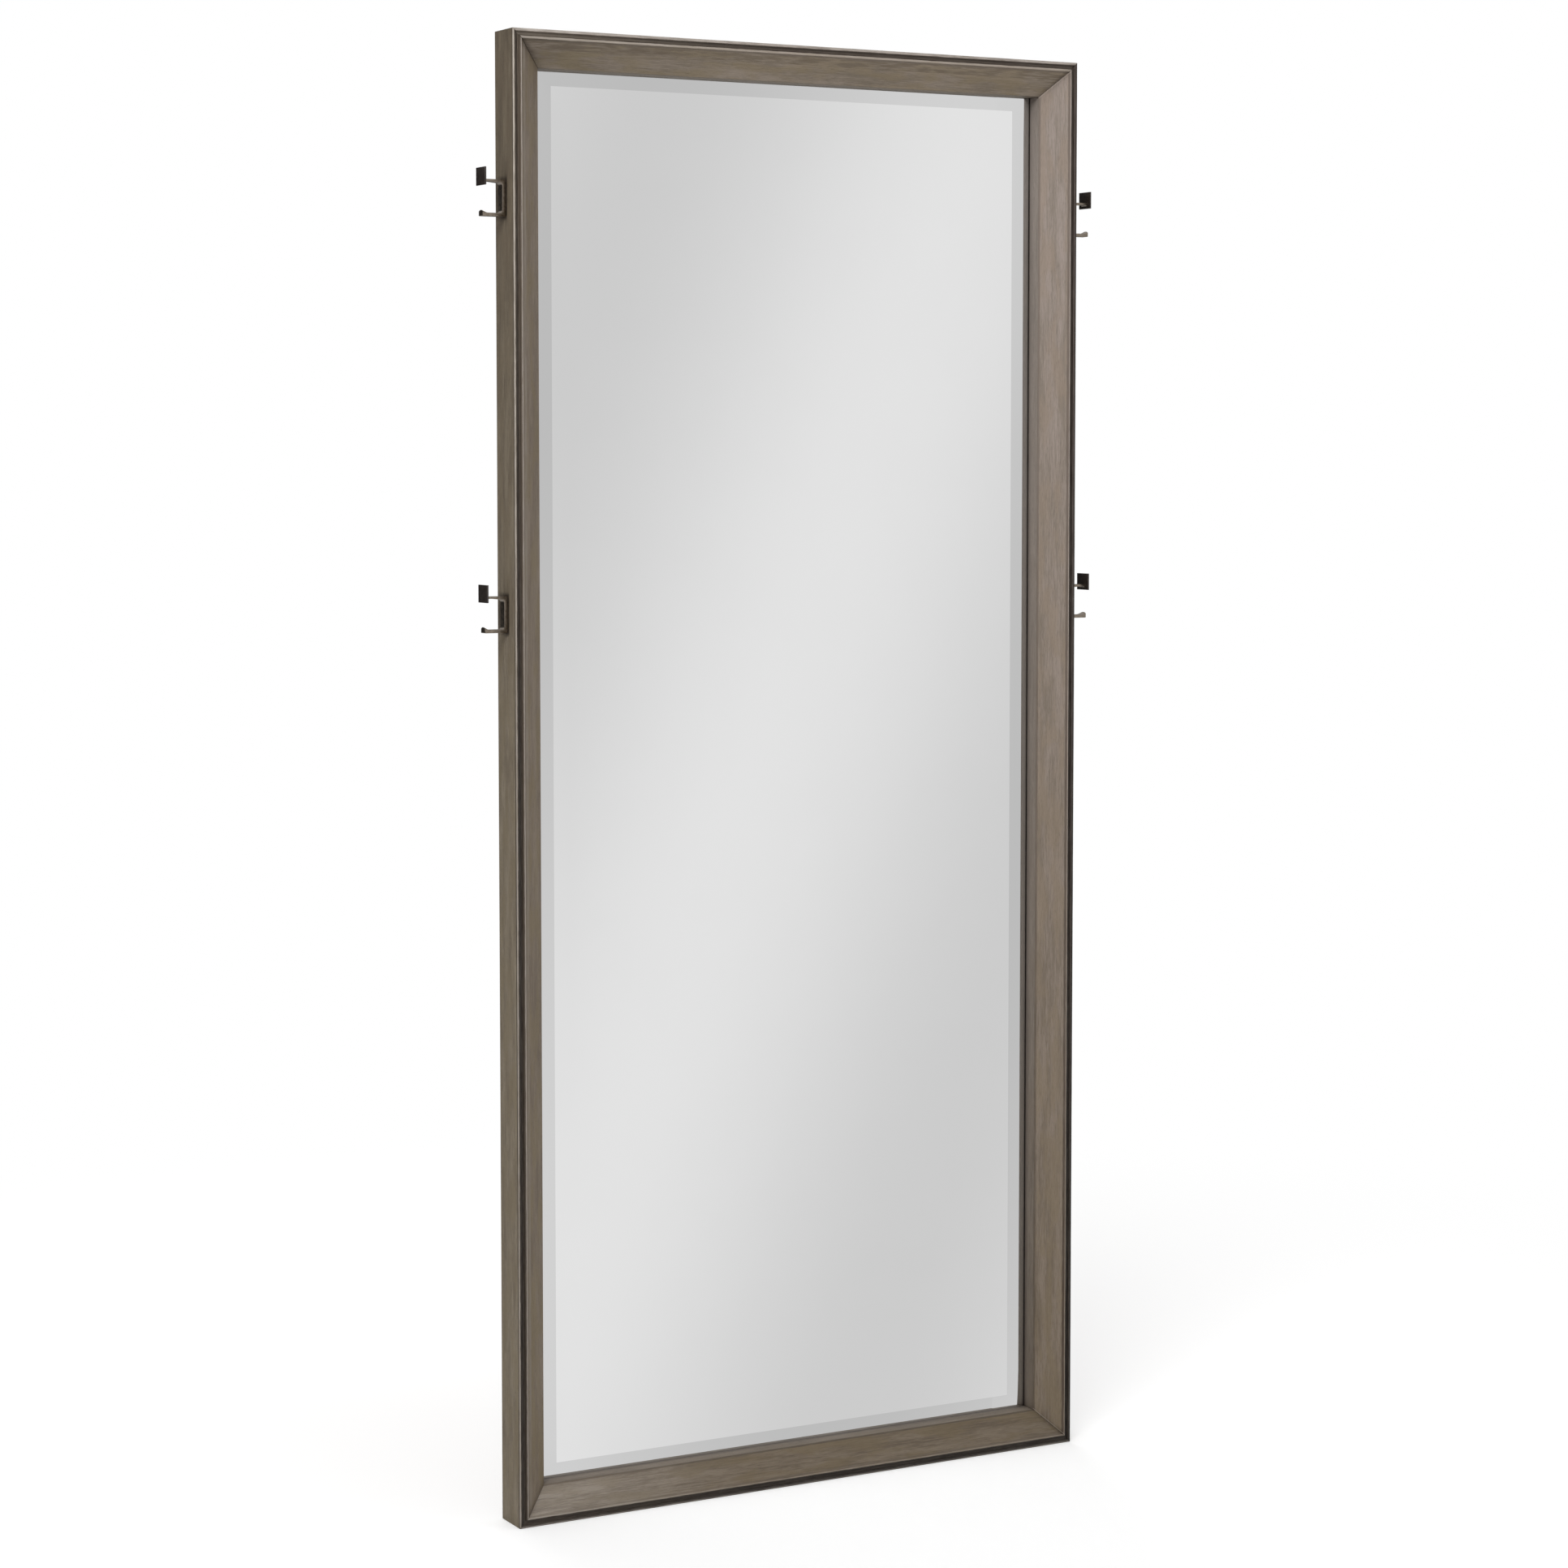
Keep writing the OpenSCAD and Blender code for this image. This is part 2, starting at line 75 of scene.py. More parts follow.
# %% Sizes of the frame
MM = 0.001
FRAME_W = 876
FRAME_H = 1981
FRAME_D = 57
CASING_T = 18
LIP_W = 4.4
GROOVE_DEPTH = 3
BEAD_W0 = 9.6
BEAD_W1 = 13.0
BEAD_STEP = 0.9
SIGHT_W = 47.5
SIGHT_D = 26.5
BOARD_T = 12
LINER_W = SIGHT_W - BOARD_T
GLASS_W = 39
LEDGE_D = 50.926
GLASS_D = 49.8
PANEL_D = 53.8
SLOPE = (SIGHT_D - BEAD_STEP) / (SIGHT_W - BEAD_W1)
BOARD_DROP = BOARD_T * math.sqrt(1 + SLOPE * SLOPE)


def board_back(w):
    """Depth of the sloped board's back at w."""
    return SIGHT_D - (SIGHT_W - w) * SLOPE + BOARD_DROP


print("slope of the sloped boards:", round(math.degrees(math.atan(SLOPE)), 1), "degrees")

# %% [markdown]
# ## The three sections
# The outer board carries the lip and the groove, the sloped board the bead, and the liner hides
# the gap down to the glass. A moulding can be made from a box with loop cuts, or from a curve with
# a bevel profile. Here each section is a list of corners, a point and the radius that rounds it,
# because a joiner's drawing gives it that way. The radii differ: hands and brooms meet the lip
# first, so it is the softest, and corners inside the joints stay sharp, so that boards meet flush.

# %% The sections as corners: w, d, radius
CASING_SECTION = [
    (0, 0, 0.9),
    (LIP_W, 0, 0.6),
    (LIP_W, GROOVE_DEPTH, 0.5),
    (BEAD_W0, GROOVE_DEPTH, 0),
    (BEAD_W0, board_back(BEAD_W0), 0),
    (CASING_T, board_back(CASING_T), 0),
    (CASING_T, FRAME_D, 0.3),
    (0, FRAME_D, 0.8),
]
FACE_SECTION = [
    (BEAD_W0, 0, 0.6),
    (BEAD_W1, 0, 0.7),
    (BEAD_W1, BEAD_STEP, 0),
    (SIGHT_W, SIGHT_D, 0.35),
    (LINER_W, board_back(LINER_W), 0),
    (BEAD_W0, board_back(BEAD_W0), 0),
]
LINER_SECTION = [
    (SIGHT_W, SIGHT_D, 0.35),
    (SIGHT_W, LEDGE_D, 0.2),
    (GLASS_W, LEDGE_D, 0),
    (GLASS_W, PANEL_D, 0),
    (LINER_W, PANEL_D, 0),
    (LINER_W, board_back(LINER_W), 0),
]
print("corners in the sections:", len(CASING_SECTION), len(FACE_SECTION), len(LINER_SECTION))

# %% [markdown]
# ## From a bmesh to a piece
# Each piece of the mirror becomes one object. Objects could be moved into place, but a pattern
# that reads object coordinates is easier to aim when every object's origin is the world's origin,
# so the place is kept in the mesh. Faces are shaded smooth, and edges that turn more than forty
# degrees stay crisp, as planed wood and castings do.

# %% Close a bmesh
SMOOTH_UP_TO = math.radians(40)


def close_piece(bm, name):
    """Finishes a bmesh and returns it as a linked object."""
    bmesh.ops.recalc_face_normals(bm, faces=bm.faces)
    mesh = bpy.data.meshes.new(name)
    bm.to_mesh(mesh)
    bm.free()
    for face in mesh.polygons:
        face.use_smooth = True
    mesh.set_sharp_from_angle(angle=SMOOTH_UP_TO)
    piece = bpy.data.objects.new(name, mesh)
    bpy.context.scene.collection.objects.link(piece)
    return piece


print("edges stay crisp above", round(math.degrees(SMOOTH_UP_TO)), "degrees")

# %% [markdown]
# A finished piece gets its finishes and rides on the body that carries it, and the CAD nodes that
# it stands for are hidden. This could be set by hand for each piece. One helper does it, so that
# no piece is forgotten.

# %% Settle a piece
def settle(piece, slot, finishes, *nodes):
    """Gives a piece its finishes and its body, and hides the CAD nodes that it stands for. slot is
    not used.
    """
    for finish in finishes:
        piece.data.materials.append(finish)
    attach(piece, BODY)
    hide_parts(*nodes)
    return piece


print("pieces ride on", BODY)

# %% [markdown]
# ## One board of the frame
# On the bench, a board is run through the moulding cutters and then cut to length at forty-five
# degrees. The script does the same: the section is a flat face whose corners are rounded by a
# vertex bevel. A curve with a profile would be quicker, but it has no mitres that open and close.

# %% Draw a section
ROUND_SEGMENTS = 4


def round_off(bm, geom, radius, segments=2, affect="EDGES", clamp=True):
    """Rounds edges, or the corners of a flat face, by a radius in millimetres."""
    bmesh.ops.bevel(
        bm, geom=geom, offset=radius * MM, offset_type="OFFSET", segments=segments,
        profile=0.5, affect=affect, material=-1, clamp_overlap=clamp,
    )


def rounded_face(bm, places, radii, segments):
    """One flat face through places in millimetres, each corner rounded by its own radius."""
    points = [bm.verts.new([c * MM for c in place]) for place in places]
    bm.faces.new(points)
    for point, radius in zip(points, radii):
        if radius:
            round_off(bm, [point], radius, segments, affect="VERTICES", clamp=False)


def draw_section(bm, corners):
    """One flat face from the corners of a section."""
    places = [(w, d, 0) for w, d, _ in corners]
    rounded_face(bm, places, [radius for _, _, radius in corners], ROUND_SEGMENTS)


trial = bmesh.new()
draw_section(trial, CASING_SECTION)
print("points round the outer board's section:", len(trial.verts))
trial.free()

# %% [markdown]
# Extruding the section makes the board. The mitres could be cut with a plane, but moving each end
# point along the board by its own w gives exactly forty-five degrees and no new faces. The mitre's
# rim gets a hair of a bevel, so that two boards meet in a fine groove, as real joints do. Cuts
# along the length give the worn edges something to bend.

# %% Extrude a mitred board
RING_EVERY = 9
MITRE_EASE = 0.3


def extrude_all(bm):
    """Extrudes every face. Returns the old points, the new points and the edges between them."""
    near = bm.verts[:]
    made = bmesh.ops.extrude_face_region(bm, geom=bm.faces[:])["geom"]
    far = [g for g in made if isinstance(g, bmesh.types.BMVert)]
    return near, far, [e for e in bm.edges if (e.verts[0] in near) != (e.verts[1] in near)]


def shear_by_width(amount):
    """Matrix that moves a point along the board by its w, times amount."""
    matrix = Matrix.Identity(4)
    matrix[2][0] = amount
    return matrix


def extrude_board(bm, corners, length):
    """Extrudes the section to a board with mitred ends, z along the board and 0 at its middle."""
    half = length * MM / 2
    draw_section(bm, corners)
    near, far, long_edges = extrude_all(bm)
    bmesh.ops.translate(bm, verts=far, vec=(0, 0, half))
    bmesh.ops.translate(bm, verts=near, vec=(0, 0, -half))
    bmesh.ops.transform(bm, verts=near, matrix=shear_by_width(1))
    bmesh.ops.transform(bm, verts=far, matrix=shear_by_width(-1))
    rim = [e for e in bm.edges if e not in long_edges]
    round_off(bm, rim, MITRE_EASE, segments=1)
    runs = [e for e in bm.edges if abs(e.verts[0].co.z - e.verts[1].co.z) > half]
    bmesh.ops.subdivide_edges(bm, edges=runs, cuts=round(length / RING_EVERY), use_grid_fill=False)


trial = bmesh.new()
extrude_board(trial, FACE_SECTION, FRAME_W)
print("faces of a short sloped board:", len(trial.faces))
trial.free()

# %% [markdown]
# The maker rubs the lip and the bead by hand, so their edges wander by a few tenths of a
# millimetre. A displacement modifier could do that over the whole board. Only the front edges are
# rubbed, so the script moves just those points, by two sizes of noise with a fixed seed.

# %% Rub the front edges
WEAR_DEPTH = 2.4
RUB_MEAN = 0.13
RUB_SLOW = 0.16
RUB_QUICK = 0.1


def rub_front(bm, seed):
    """Rubs the lip and the bead down a little, more in some places than in others."""
    for vert in bm.verts:
        if vert.co.y < WEAR_DEPTH * MM and vert.co.x < (BEAD_W1 + 0.1) * MM:
            along = vert.co.z / MM
            across = vert.co.x / MM
            slow = noise.noise(Vector((along / 42, across / 6, seed)))
            quick = noise.noise(Vector((along / 15, across / 4, seed + 5)))
            depth = max(0.0, RUB_MEAN + RUB_SLOW * slow + RUB_QUICK * quick)
            share = 1 - vert.co.y / (WEAR_DEPTH * MM)
            vert.co.y += depth * MM * share


print("rubbed down by up to", round(RUB_MEAN + RUB_SLOW + RUB_QUICK, 2), "mm")

# %% [markdown]
# ## Cut one shape out of another
# The uprights need a recess for their hanger plates, and the hooks need screw holes. Such shapes
# could be modelled into the mesh by hand, face by face. A boolean does what a router or a drill
# does: it takes one shape out of another, and the cutter is then thrown away. Where two cuts share
# a rim, a boolean leaves points that nearly coincide, with faces of no area between them. Joining
# those points takes such stray faces out.

# %% Cut a piece
WELD_WITHIN = 0.001


def weld(mesh):
    """Joins the points of a mesh that nearly coincide."""
    bm = bmesh.new()
    bm.from_mesh(mesh)
    bmesh.ops.remove_doubles(bm, verts=bm.verts, dist=WELD_WITHIN * MM)
    bm.to_mesh(mesh)
    bm.free()


def cut(piece, cutter):
    """Takes cutter out of piece and removes the cutter."""
    modifier = piece.modifiers.new("cut", "BOOLEAN")
    modifier.operation = "DIFFERENCE"
    modifier.solver = "EXACT"
    modifier.object = cutter
    seen = piece.evaluated_get(bpy.context.evaluated_depsgraph_get())
    mesh = bpy.data.meshes.new_from_object(seen)
    piece.modifiers.clear()
    old = piece.data
    piece.data = mesh
    bpy.data.meshes.remove(old)
    bpy.data.objects.remove(cutter)
    piece.data.name = piece.name
    weld(piece.data)
    piece.data.set_sharp_from_angle(angle=SMOOTH_UP_TO)


print("helper:", cut.__doc__)

# %% [markdown]
# A steel plate with a keyhole is let into the back of each upright, flush with the wood, and the
# head of the wall's screw needs room behind it. Without a recess the plate would lie in one plane
# with the wood, and two faces in one plane fight each other and turn black. So the joiner's router
# takes out the plate's outline, and a deeper pocket behind the keyhole.

# %% The shapes of the hanger plate's recess
HANGER_DROP = 320
HANGER_Z = FRAME_H - HANGER_DROP
HANGER_T = 1.5
RECESS_W = 14.2
RECESS_L = 42.2
RECESS_ROUND = 2
KEYHOLE_RISE = 9
POCKET_R = 5.5
POCKET_D = 8
OVERSHOOT = 1
ROUND_SIDES = 32


def start_box(size, centre):
    """A bmesh with one box, its size and its centre in millimetres."""
    bm = bmesh.new()
    bmesh.ops.create_cube(bm, size=1)
    bmesh.ops.scale(bm, verts=bm.verts, vec=tuple(c * MM for c in size))
    bmesh.ops.translate(bm, verts=bm.verts, vec=tuple(c * MM for c in centre))
    return bm


def hanger_cutters(z):
    """The plate's outline and the keyhole's pocket, in an upright's own coordinates."""
    back = Vector((CASING_T / 2, FRAME_D + OVERSHOOT, z))
    depth = HANGER_T + OVERSHOOT
    bm = start_box((RECESS_W, depth, RECESS_L), back - Vector((0, depth / 2, 0)))
    corners = [e for e in bm.edges if abs(e.verts[0].co.y - e.verts[1].co.y) > HANGER_T * MM]
    round_off(bm, corners, RECESS_ROUND, ROUND_SEGMENTS, clamp=False)
    yield close_piece(bm, "cutter")
    bm = bmesh.new()
    depth = POCKET_D + HANGER_T + OVERSHOOT
    half_step = Matrix.Rotation(math.pi / ROUND_SIDES, 4, "Z")
    bmesh.ops.create_cone(
        bm, cap_ends=True, segments=ROUND_SIDES, radius1=POCKET_R * MM, radius2=POCKET_R * MM,
        depth=depth * MM, matrix=Matrix.Rotation(math.radians(90), 4, "X") @ half_step,
    )
    for vert in bm.verts:
        vert.co.z += math.copysign(KEYHOLE_RISE / 2 * MM, vert.co.z)
    bmesh.ops.translate(bm, verts=bm.verts, vec=(back - Vector((0, depth / 2, 0))) * MM)
    yield close_piece(bm, "cutter")


print("hanger plates at", HANGER_Z, "mm above the floor")

# %% [markdown]
# ## Coordinates that follow the board
# Wood grain runs along each board and turns at the mitres. A UV map could carry that, but grain is
# solid: it also shows on the edges. So every vertex keeps where it was on the bench, before its
# board was turned into place: along the board, w and d. A second number keeps how far the vertex
# is from the nearest mitre. The finishes read both.

# %% Keep the board's own coordinates
def keep_board_place(mesh, length, start):
    """Writes the attributes board_place and mitre_gap, in metres."""
    mesh.attributes.new("board_place", "FLOAT_VECTOR", "POINT")
    mesh.attributes.new("mitre_gap", "FLOAT", "POINT")
    place = mesh.attributes["board_place"]
    gap = mesh.attributes["mitre_gap"]
    half = length * MM / 2
    for vert in mesh.vertices:
        w, d, z = vert.co
        place.data[vert.index].vector = (z + start, w, d)
        gap.data[vert.index].value = (half - abs(z) - w) * math.sqrt(0.5)


print("attributes on every board: board_place and mitre_gap")

# %% [markdown]
# The four sides of the frame are one board, turned. Mirroring would be another way, but then the
# wear and the grain would mirror too, which real boards never do.

# %% Make a board and turn it to its side
TURNS = {"left": 0, "top": 90, "right": 180, "bottom": 270}
UPRIGHTS = ("left", "right")
GRAIN_STEP = 1.7


def to_side(side):
    """Matrix that carries a board, drawn about its middle, to its side of the frame."""
    reach = (FRAME_W if side in UPRIGHTS else FRAME_H) * MM / 2
    return (
        Matrix.Translation((0, 0, FRAME_H * MM / 2))
        @ Matrix.Rotation(math.radians(TURNS[side]), 4, "Y")
        @ Matrix.Translation((-reach, -FRAME_D * MM / 2, 0))
    )


def make_board(name, corners, side, seed, recess=False):
    """One mitred board in its place on the frame, with or without a hanger plate's recess."""
    length = FRAME_H if side in UPRIGHTS else FRAME_W
    bm = bmesh.new()
    extrude_board(bm, corners, length)
    rub_front(bm, seed)
    piece = close_piece(bm, name)
    if recess:
        hanger_z = HANGER_Z - FRAME_H / 2
        for cutter in hanger_cutters(hanger_z if side == "left" else -hanger_z):
            cut(piece, cutter)
    keep_board_place(piece.data, length, seed * GRAIN_STEP)
    piece.data.transform(to_side(side))
    return piece


print("sides of the frame:", ", ".join(TURNS))

# %% [markdown]
# ## Nodes in plain calls
# A finish is a tree of small nodes. It could be wired by hand in the shader editor. In a script, a
# few helpers keep it short: they add a node, and feed a socket with a number or with another
# node's output.

# %% Add and feed nodes
def add_node(tree, kind, **settings):
    """Adds a node and sets its properties."""
    made = tree.nodes.new(kind)
    for key, value in settings.items():
        setattr(made, key, value)
    return made


def feed(tree, socket, source):
    """Feeds a socket from another socket or with a plain value."""
    if isinstance(source, bpy.types.NodeSocket):
        tree.links.new(source, socket)
    else:
        socket.default_value = source


def calc(tree, operation, *sources, clamp=False):
    """One Math node."""
    made = add_node(tree, "ShaderNodeMath", operation=operation, use_clamp=clamp)
    for socket, source in zip(made.inputs, sources):
        feed(tree, socket, source)
    return made.outputs[0]


def times(tree, *factors):
    """The product of two or more factors."""
    product = factors[0]
    for factor in factors[1:]:
        product = calc(tree, "MULTIPLY", product, factor)
    return product


def plus(tree, first, second):
    """The sum of two values."""
    return calc(tree, "ADD", first, second)


def minus(tree, first, second):
    """The difference of two values."""
    return calc(tree, "SUBTRACT", first, second)


def vector_calc(tree, operation, *sources, out=0):
    """One Vector Math node."""
    made = add_node(tree, "ShaderNodeVectorMath", operation=operation)
    for socket, source in zip(made.inputs, sources):
        feed(tree, socket, source)
    return made.outputs[out]


print("helpers:", [helper.__name__ for helper in (add_node, feed, calc, times, plus, minus)])

# %% [markdown]
# Four more come back in most finishes: a value mapped to a mask, two colours mixed by a mask,
# plain noise, and a colour written the way a colour picker shows it. A noise is given by its
# scale, its detail and its roughness. Blender wants linear values, so the last helper undoes the
# screen's curve.

# %% Masks, mixes, noise and colours
def remap(tree, value, low, high, to_low=0.0, to_high=1.0, smooth=True):
    """Maps low..high to to_low..to_high, held at both ends."""
    kind = "SMOOTHSTEP" if smooth else "LINEAR"
    made = add_node(tree, "ShaderNodeMapRange", interpolation_type=kind)
    for socket, source in zip(made.inputs, (value, low, high, to_low, to_high)):
        feed(tree, socket, source)
    return made.outputs[0]


def mix_colour(tree, mask, first, second):
    """Mixes two colours by a mask. A colour is a socket, four numbers or a text such as 776d60."""
    made = add_node(tree, "ShaderNodeMix", data_type="RGBA", clamp_factor=True)
    feed(tree, made.inputs[0], mask)
    for index, source in ((6, first), (7, second)):
        feed(tree, made.inputs[index], colour(source) if isinstance(source, str) else source)
    return made.outputs[2]


def cloud(tree, place, scale, detail=2.0, roughness=0.5):
    """Noise with the same size in every direction."""
    made = add_node(tree, "ShaderNodeTexNoise")
    feed(tree, made.inputs["Vector"], place)
    made.inputs["Scale"].default_value = scale
    made.inputs["Detail"].default_value = detail
    made.inputs["Roughness"].default_value = roughness
    return made.outputs["Fac"]


def colour(text):
    """A colour as it is picked on screen, such as 776d60, in the renderer's own values."""
    parts = [int(text[i:i + 2], 16) / 255 for i in (0, 2, 4)]
    linear = [c / 12.92 if c <= 0.04045 else ((c + 0.055) / 1.055) ** 2.4 for c in parts]
    return (*linear, 1.0)


print("776d60 in linear values:", [round(c, 3) for c in colour("776d60")])

# %% [markdown]
# ## Shared effects
# Two effects come back on many finishes: noise stretched along the grain, and wear on the sharp
# edges of metal. They could be copied into every material, but then a better grain would have to
# be copied again. A node group is built once, has named sockets, and is placed in each material
# with its own numbers.

# %% Start a group and use it
FLOAT = "NodeSocketFloat"
VECTOR = "NodeSocketVector"


def start_group(name, inputs, outputs):
    """An empty node group with named sockets. Returns it with its input and output nodes."""
    group = bpy.data.node_groups.new(name, "ShaderNodeTree")
    for label, kind, value in inputs:
        socket = group.interface.new_socket(label, in_out="INPUT", socket_type=kind)
        if value is not None:
            socket.default_value = value
    for label, kind in outputs:
        group.interface.new_socket(label, in_out="OUTPUT", socket_type=kind)
    return group, group.nodes.new("NodeGroupInput"), group.nodes.new("NodeGroupOutput")


def use_group(tree, group, out, **sources):
    """Places a group in a tree, feeds its sockets and returns one output."""
    made = add_node(tree, "ShaderNodeGroup")
    made.node_tree = group
    for label, source in sources.items():
        feed(tree, made.inputs[label], source)
    return made.outputs[out]


print("node groups so far:", len(bpy.data.node_groups))

# %% [markdown]
# ### Grain
# Wood fibres are many times longer than they are thick. A Wave texture gives neat rings, too neat
# for stained boards. Plain noise looks right once it is stretched: the place is divided by the
# fibre's length and width before the noise reads it.

# %% The grain group
GRAIN, taken, given = start_group(
    "grain",
    [
        ("Place", VECTOR, None), ("Length", FLOAT, 0.1),
        ("Width", FLOAT, 0.001), ("Detail", FLOAT, 2.0),
    ],
    [("Value", FLOAT)],
)
fibre_size = add_node(GRAIN, "ShaderNodeCombineXYZ")
feed(GRAIN, fibre_size.inputs[0], taken.outputs["Length"])
feed(GRAIN, fibre_size.inputs[1], taken.outputs["Width"])
feed(GRAIN, fibre_size.inputs[2], taken.outputs["Width"])
fibres = add_node(GRAIN, "ShaderNodeTexNoise")
fibres.inputs["Scale"].default_value = 1.0
fibres.inputs["Roughness"].default_value = 0.55
fibres.inputs["Distortion"].default_value = 0.15
stretched = vector_calc(GRAIN, "DIVIDE", taken.outputs["Place"], fibre_size.outputs[0])
feed(GRAIN, fibres.inputs["Vector"], stretched)
feed(GRAIN, fibres.inputs["Detail"], taken.outputs["Detail"])
feed(GRAIN, given.inputs["Value"], fibres.outputs["Fac"])


def grain(tree, place, length, width, detail=2.0):
    """Noise with fibres of this length and width, in metres."""
    return use_group(tree, GRAIN, "Value", Place=place, Length=length, Width=width, Detail=detail)


print("grain group:", len(GRAIN.nodes), "nodes")

# %% [markdown]
# ### Wear on metal edges
# Blackened metal goes bright first where it is touched, on its edges. The edges could be painted
# by hand, vertex by vertex. A Bevel node finds them alone: it bends the surface's normal near an
# edge, and where the bent normal leaves the true one, there is an edge. Noise breaks the line up.

# %% The edge wear group
EDGE_SPOTS = (700.0, 3.0, 0.6)
EDGE_WEAR, taken, given = start_group(
    "edge_wear",
    [("Radius", FLOAT, 0.0006), ("Patchiness", FLOAT, 0.5)],
    [("Mask", FLOAT)],
)
bent = add_node(EDGE_WEAR, "ShaderNodeBevel", samples=6)
feed(EDGE_WEAR, bent.inputs["Radius"], taken.outputs["Radius"])
surface = add_node(EDGE_WEAR, "ShaderNodeNewGeometry")
facing = vector_calc(EDGE_WEAR, "DOT_PRODUCT", bent.outputs[0], surface.outputs["Normal"], out=1)
edge = remap(EDGE_WEAR, minus(EDGE_WEAR, 1.0, facing), 0.01, 0.22)
spot = add_node(EDGE_WEAR, "ShaderNodeTexCoord").outputs["Object"]
patch = remap(EDGE_WEAR, cloud(EDGE_WEAR, spot, *EDGE_SPOTS), 0.35, 0.65)
lost = times(EDGE_WEAR, taken.outputs["Patchiness"], patch)
kept = minus(EDGE_WEAR, 1.0, lost)
feed(EDGE_WEAR, given.inputs["Mask"], calc(EDGE_WEAR, "MULTIPLY", edge, kept, clamp=True))
print("edge wear group:", len(EDGE_WEAR.nodes), "nodes")

# %% [markdown]
# ## Stained wood
# The frame is a pale hardwood under a grey-brown stain: soft broad figure, fine streaks and short
# dark pores. The stain is darker along the mitres. The corners and recesses get painted shade,
# and the lip and the bead are pale, partly from wear and partly as painted highlights. A
# photographed texture would show all this, but it would slide at the mitres. The pattern here is
# made of noise that reads the board's own coordinates, so the grain turns at the mitres, and no
# two boards are alike.

# %% Start a material
def start_material(name):
    """A material with only a Principled BSDF. Returns it, its tree and the shader."""
    material = bpy.data.materials.new(name)
    material.use_nodes = True
    return material, material.node_tree, material.node_tree.nodes["Principled BSDF"]


def object_place(tree):
    """The place in the object's own coordinates."""
    return add_node(tree, "ShaderNodeTexCoord").outputs["Object"]


def split_place(tree, place):
    """The three numbers of a place."""
    parts = add_node(tree, "ShaderNodeSeparateXYZ")
    feed(tree, parts.inputs[0], place)
    return parts.outputs


def set_look(tree, shader, base, rough, metal=0.0):
    """Feeds a shader's colour and roughness, and sets the share of bare metal."""
    feed(tree, shader.inputs["Base Color"], base)
    feed(tree, shader.inputs["Roughness"], rough)
    shader.inputs["Metallic"].default_value = metal


def add_relief(tree, shader, height, strength, distance):
    """A bump from a height that changes over the surface."""
    bump = add_node(tree, "ShaderNodeBump")
    bump.inputs["Strength"].default_value = strength
    bump.inputs["Distance"].default_value = distance
    feed(tree, bump.inputs["Height"], height)
    feed(tree, shader.inputs["Normal"], bump.outputs[0])


print("materials before the finishes:", len(bpy.data.materials))

# %% [markdown]
# The wood's own look comes from four sizes of grain: broad figure, streaks, fibres and pores. One
# noise with more detail would be cheaper, but its fine part would be as stretched as its broad
# part, and real pores are short.

# %% Bare grain: length, width and detail of each size
FIGURE = (0.11, 0.013, 3.0)
STREAK = (0.045, 0.0019, 3.0)
FIBRE = (0.014, 0.0008, 2.0)
PORE = (0.008, 0.0006, 1.0)
FIGURE_SHARE = 0.36


def wood_grain(tree, place):
    """Tone, streaks and pores of the wood, each from 0 to 1."""
    sizes = (FIGURE, STREAK, FIBRE, PORE)
    figure, streak, fibre, pore = (grain(tree, place, *size) for size in sizes)
    fine = plus(tree, times(tree, streak, 0.5), times(tree, fibre, 0.5))
    tone = plus(tree, times(tree, figure, FIGURE_SHARE), times(tree, fine, 1 - FIGURE_SHARE))
    tone = remap(tree, tone, 0.39, 0.61)
    return tone, remap(tree, fine, 0.36, 0.64), remap(tree, pore, 0.3, 0.46, 1.0, 0.0)


print("grain gives a tone, streaks and pores")

# %% [markdown]
# ### The painted shade round a hook
# Each hook's bar shades the frame's side round it, and that shade is painted into the wood: a thin
# line in front of the bar, and a wide patch behind it that grows weaker towards the wall. Ambient
# occlusion could find the place, but an exported material can't always keep it. The patch is
# worked out from the hooks' own heights instead.

# %% The patch round a hook
HOOK_DROP = 218.5
HOOKS_APART = 544
HOOK_ZS = {"upper": FRAME_H - HOOK_DROP, "lower": FRAME_H - HOOK_DROP - HOOKS_APART}
# Size of the painted shade round each hook, in millimetres.
PATCH_HALF_H = 22
PATCH_FRONT = 6.3
PATCH_SQUEEZE = 3.0
PATCH_WANDER = 6
PATCH_FULL = 1.0
PATCH_FADE = 9.5
PATCH_THINS_FROM = 8
PATCH_THINS_TO = 28
PATCH_AT_BACK = 0.5


def painted_hook_shade(tree, spot):
    """Painted shade on the sides of the frame, round each hook and from there to the back."""
    x, y, z = split_place(tree, spot)
    middle = sum(HOOK_ZS.values()) / 2 * MM
    rise = calc(tree, "ABSOLUTE", minus(tree, z, middle))
    rise = calc(tree, "ABSOLUTE", minus(tree, rise, HOOKS_APART / 2 * MM))
    rise = calc(tree, "MAXIMUM", minus(tree, rise, PATCH_HALF_H * MM), 0.0)
    ahead = times(tree, minus(tree, -PATCH_FRONT * MM, y), PATCH_SQUEEZE)
    ahead = calc(tree, "MAXIMUM", ahead, 0.0)
    squares = plus(tree, times(tree, rise, rise), times(tree, ahead, ahead))
    uneven = times(tree, minus(tree, cloud(tree, spot, 120.0), 0.5), PATCH_WANDER * MM)
    away = plus(tree, calc(tree, "SQRT", squares), uneven)
    near_hook = remap(tree, away, PATCH_FULL * MM, PATCH_FADE * MM, 1.0, 0.0)
    inwards = minus(tree, calc(tree, "ABSOLUTE", x), FRAME_W / 2 * MM)
    on_side = remap(tree, calc(tree, "ABSOLUTE", inwards), 0.2 * MM, 0.8 * MM, 1.0, 0.0)
    thins = (PATCH_THINS_FROM * MM, PATCH_THINS_TO * MM)
    to_back = remap(tree, y, *thins, 1.0, PATCH_AT_BACK, smooth=False)
    return times(tree, near_hook, on_side, to_back)


print("hooks at z", list(HOOK_ZS.values()), "mm")
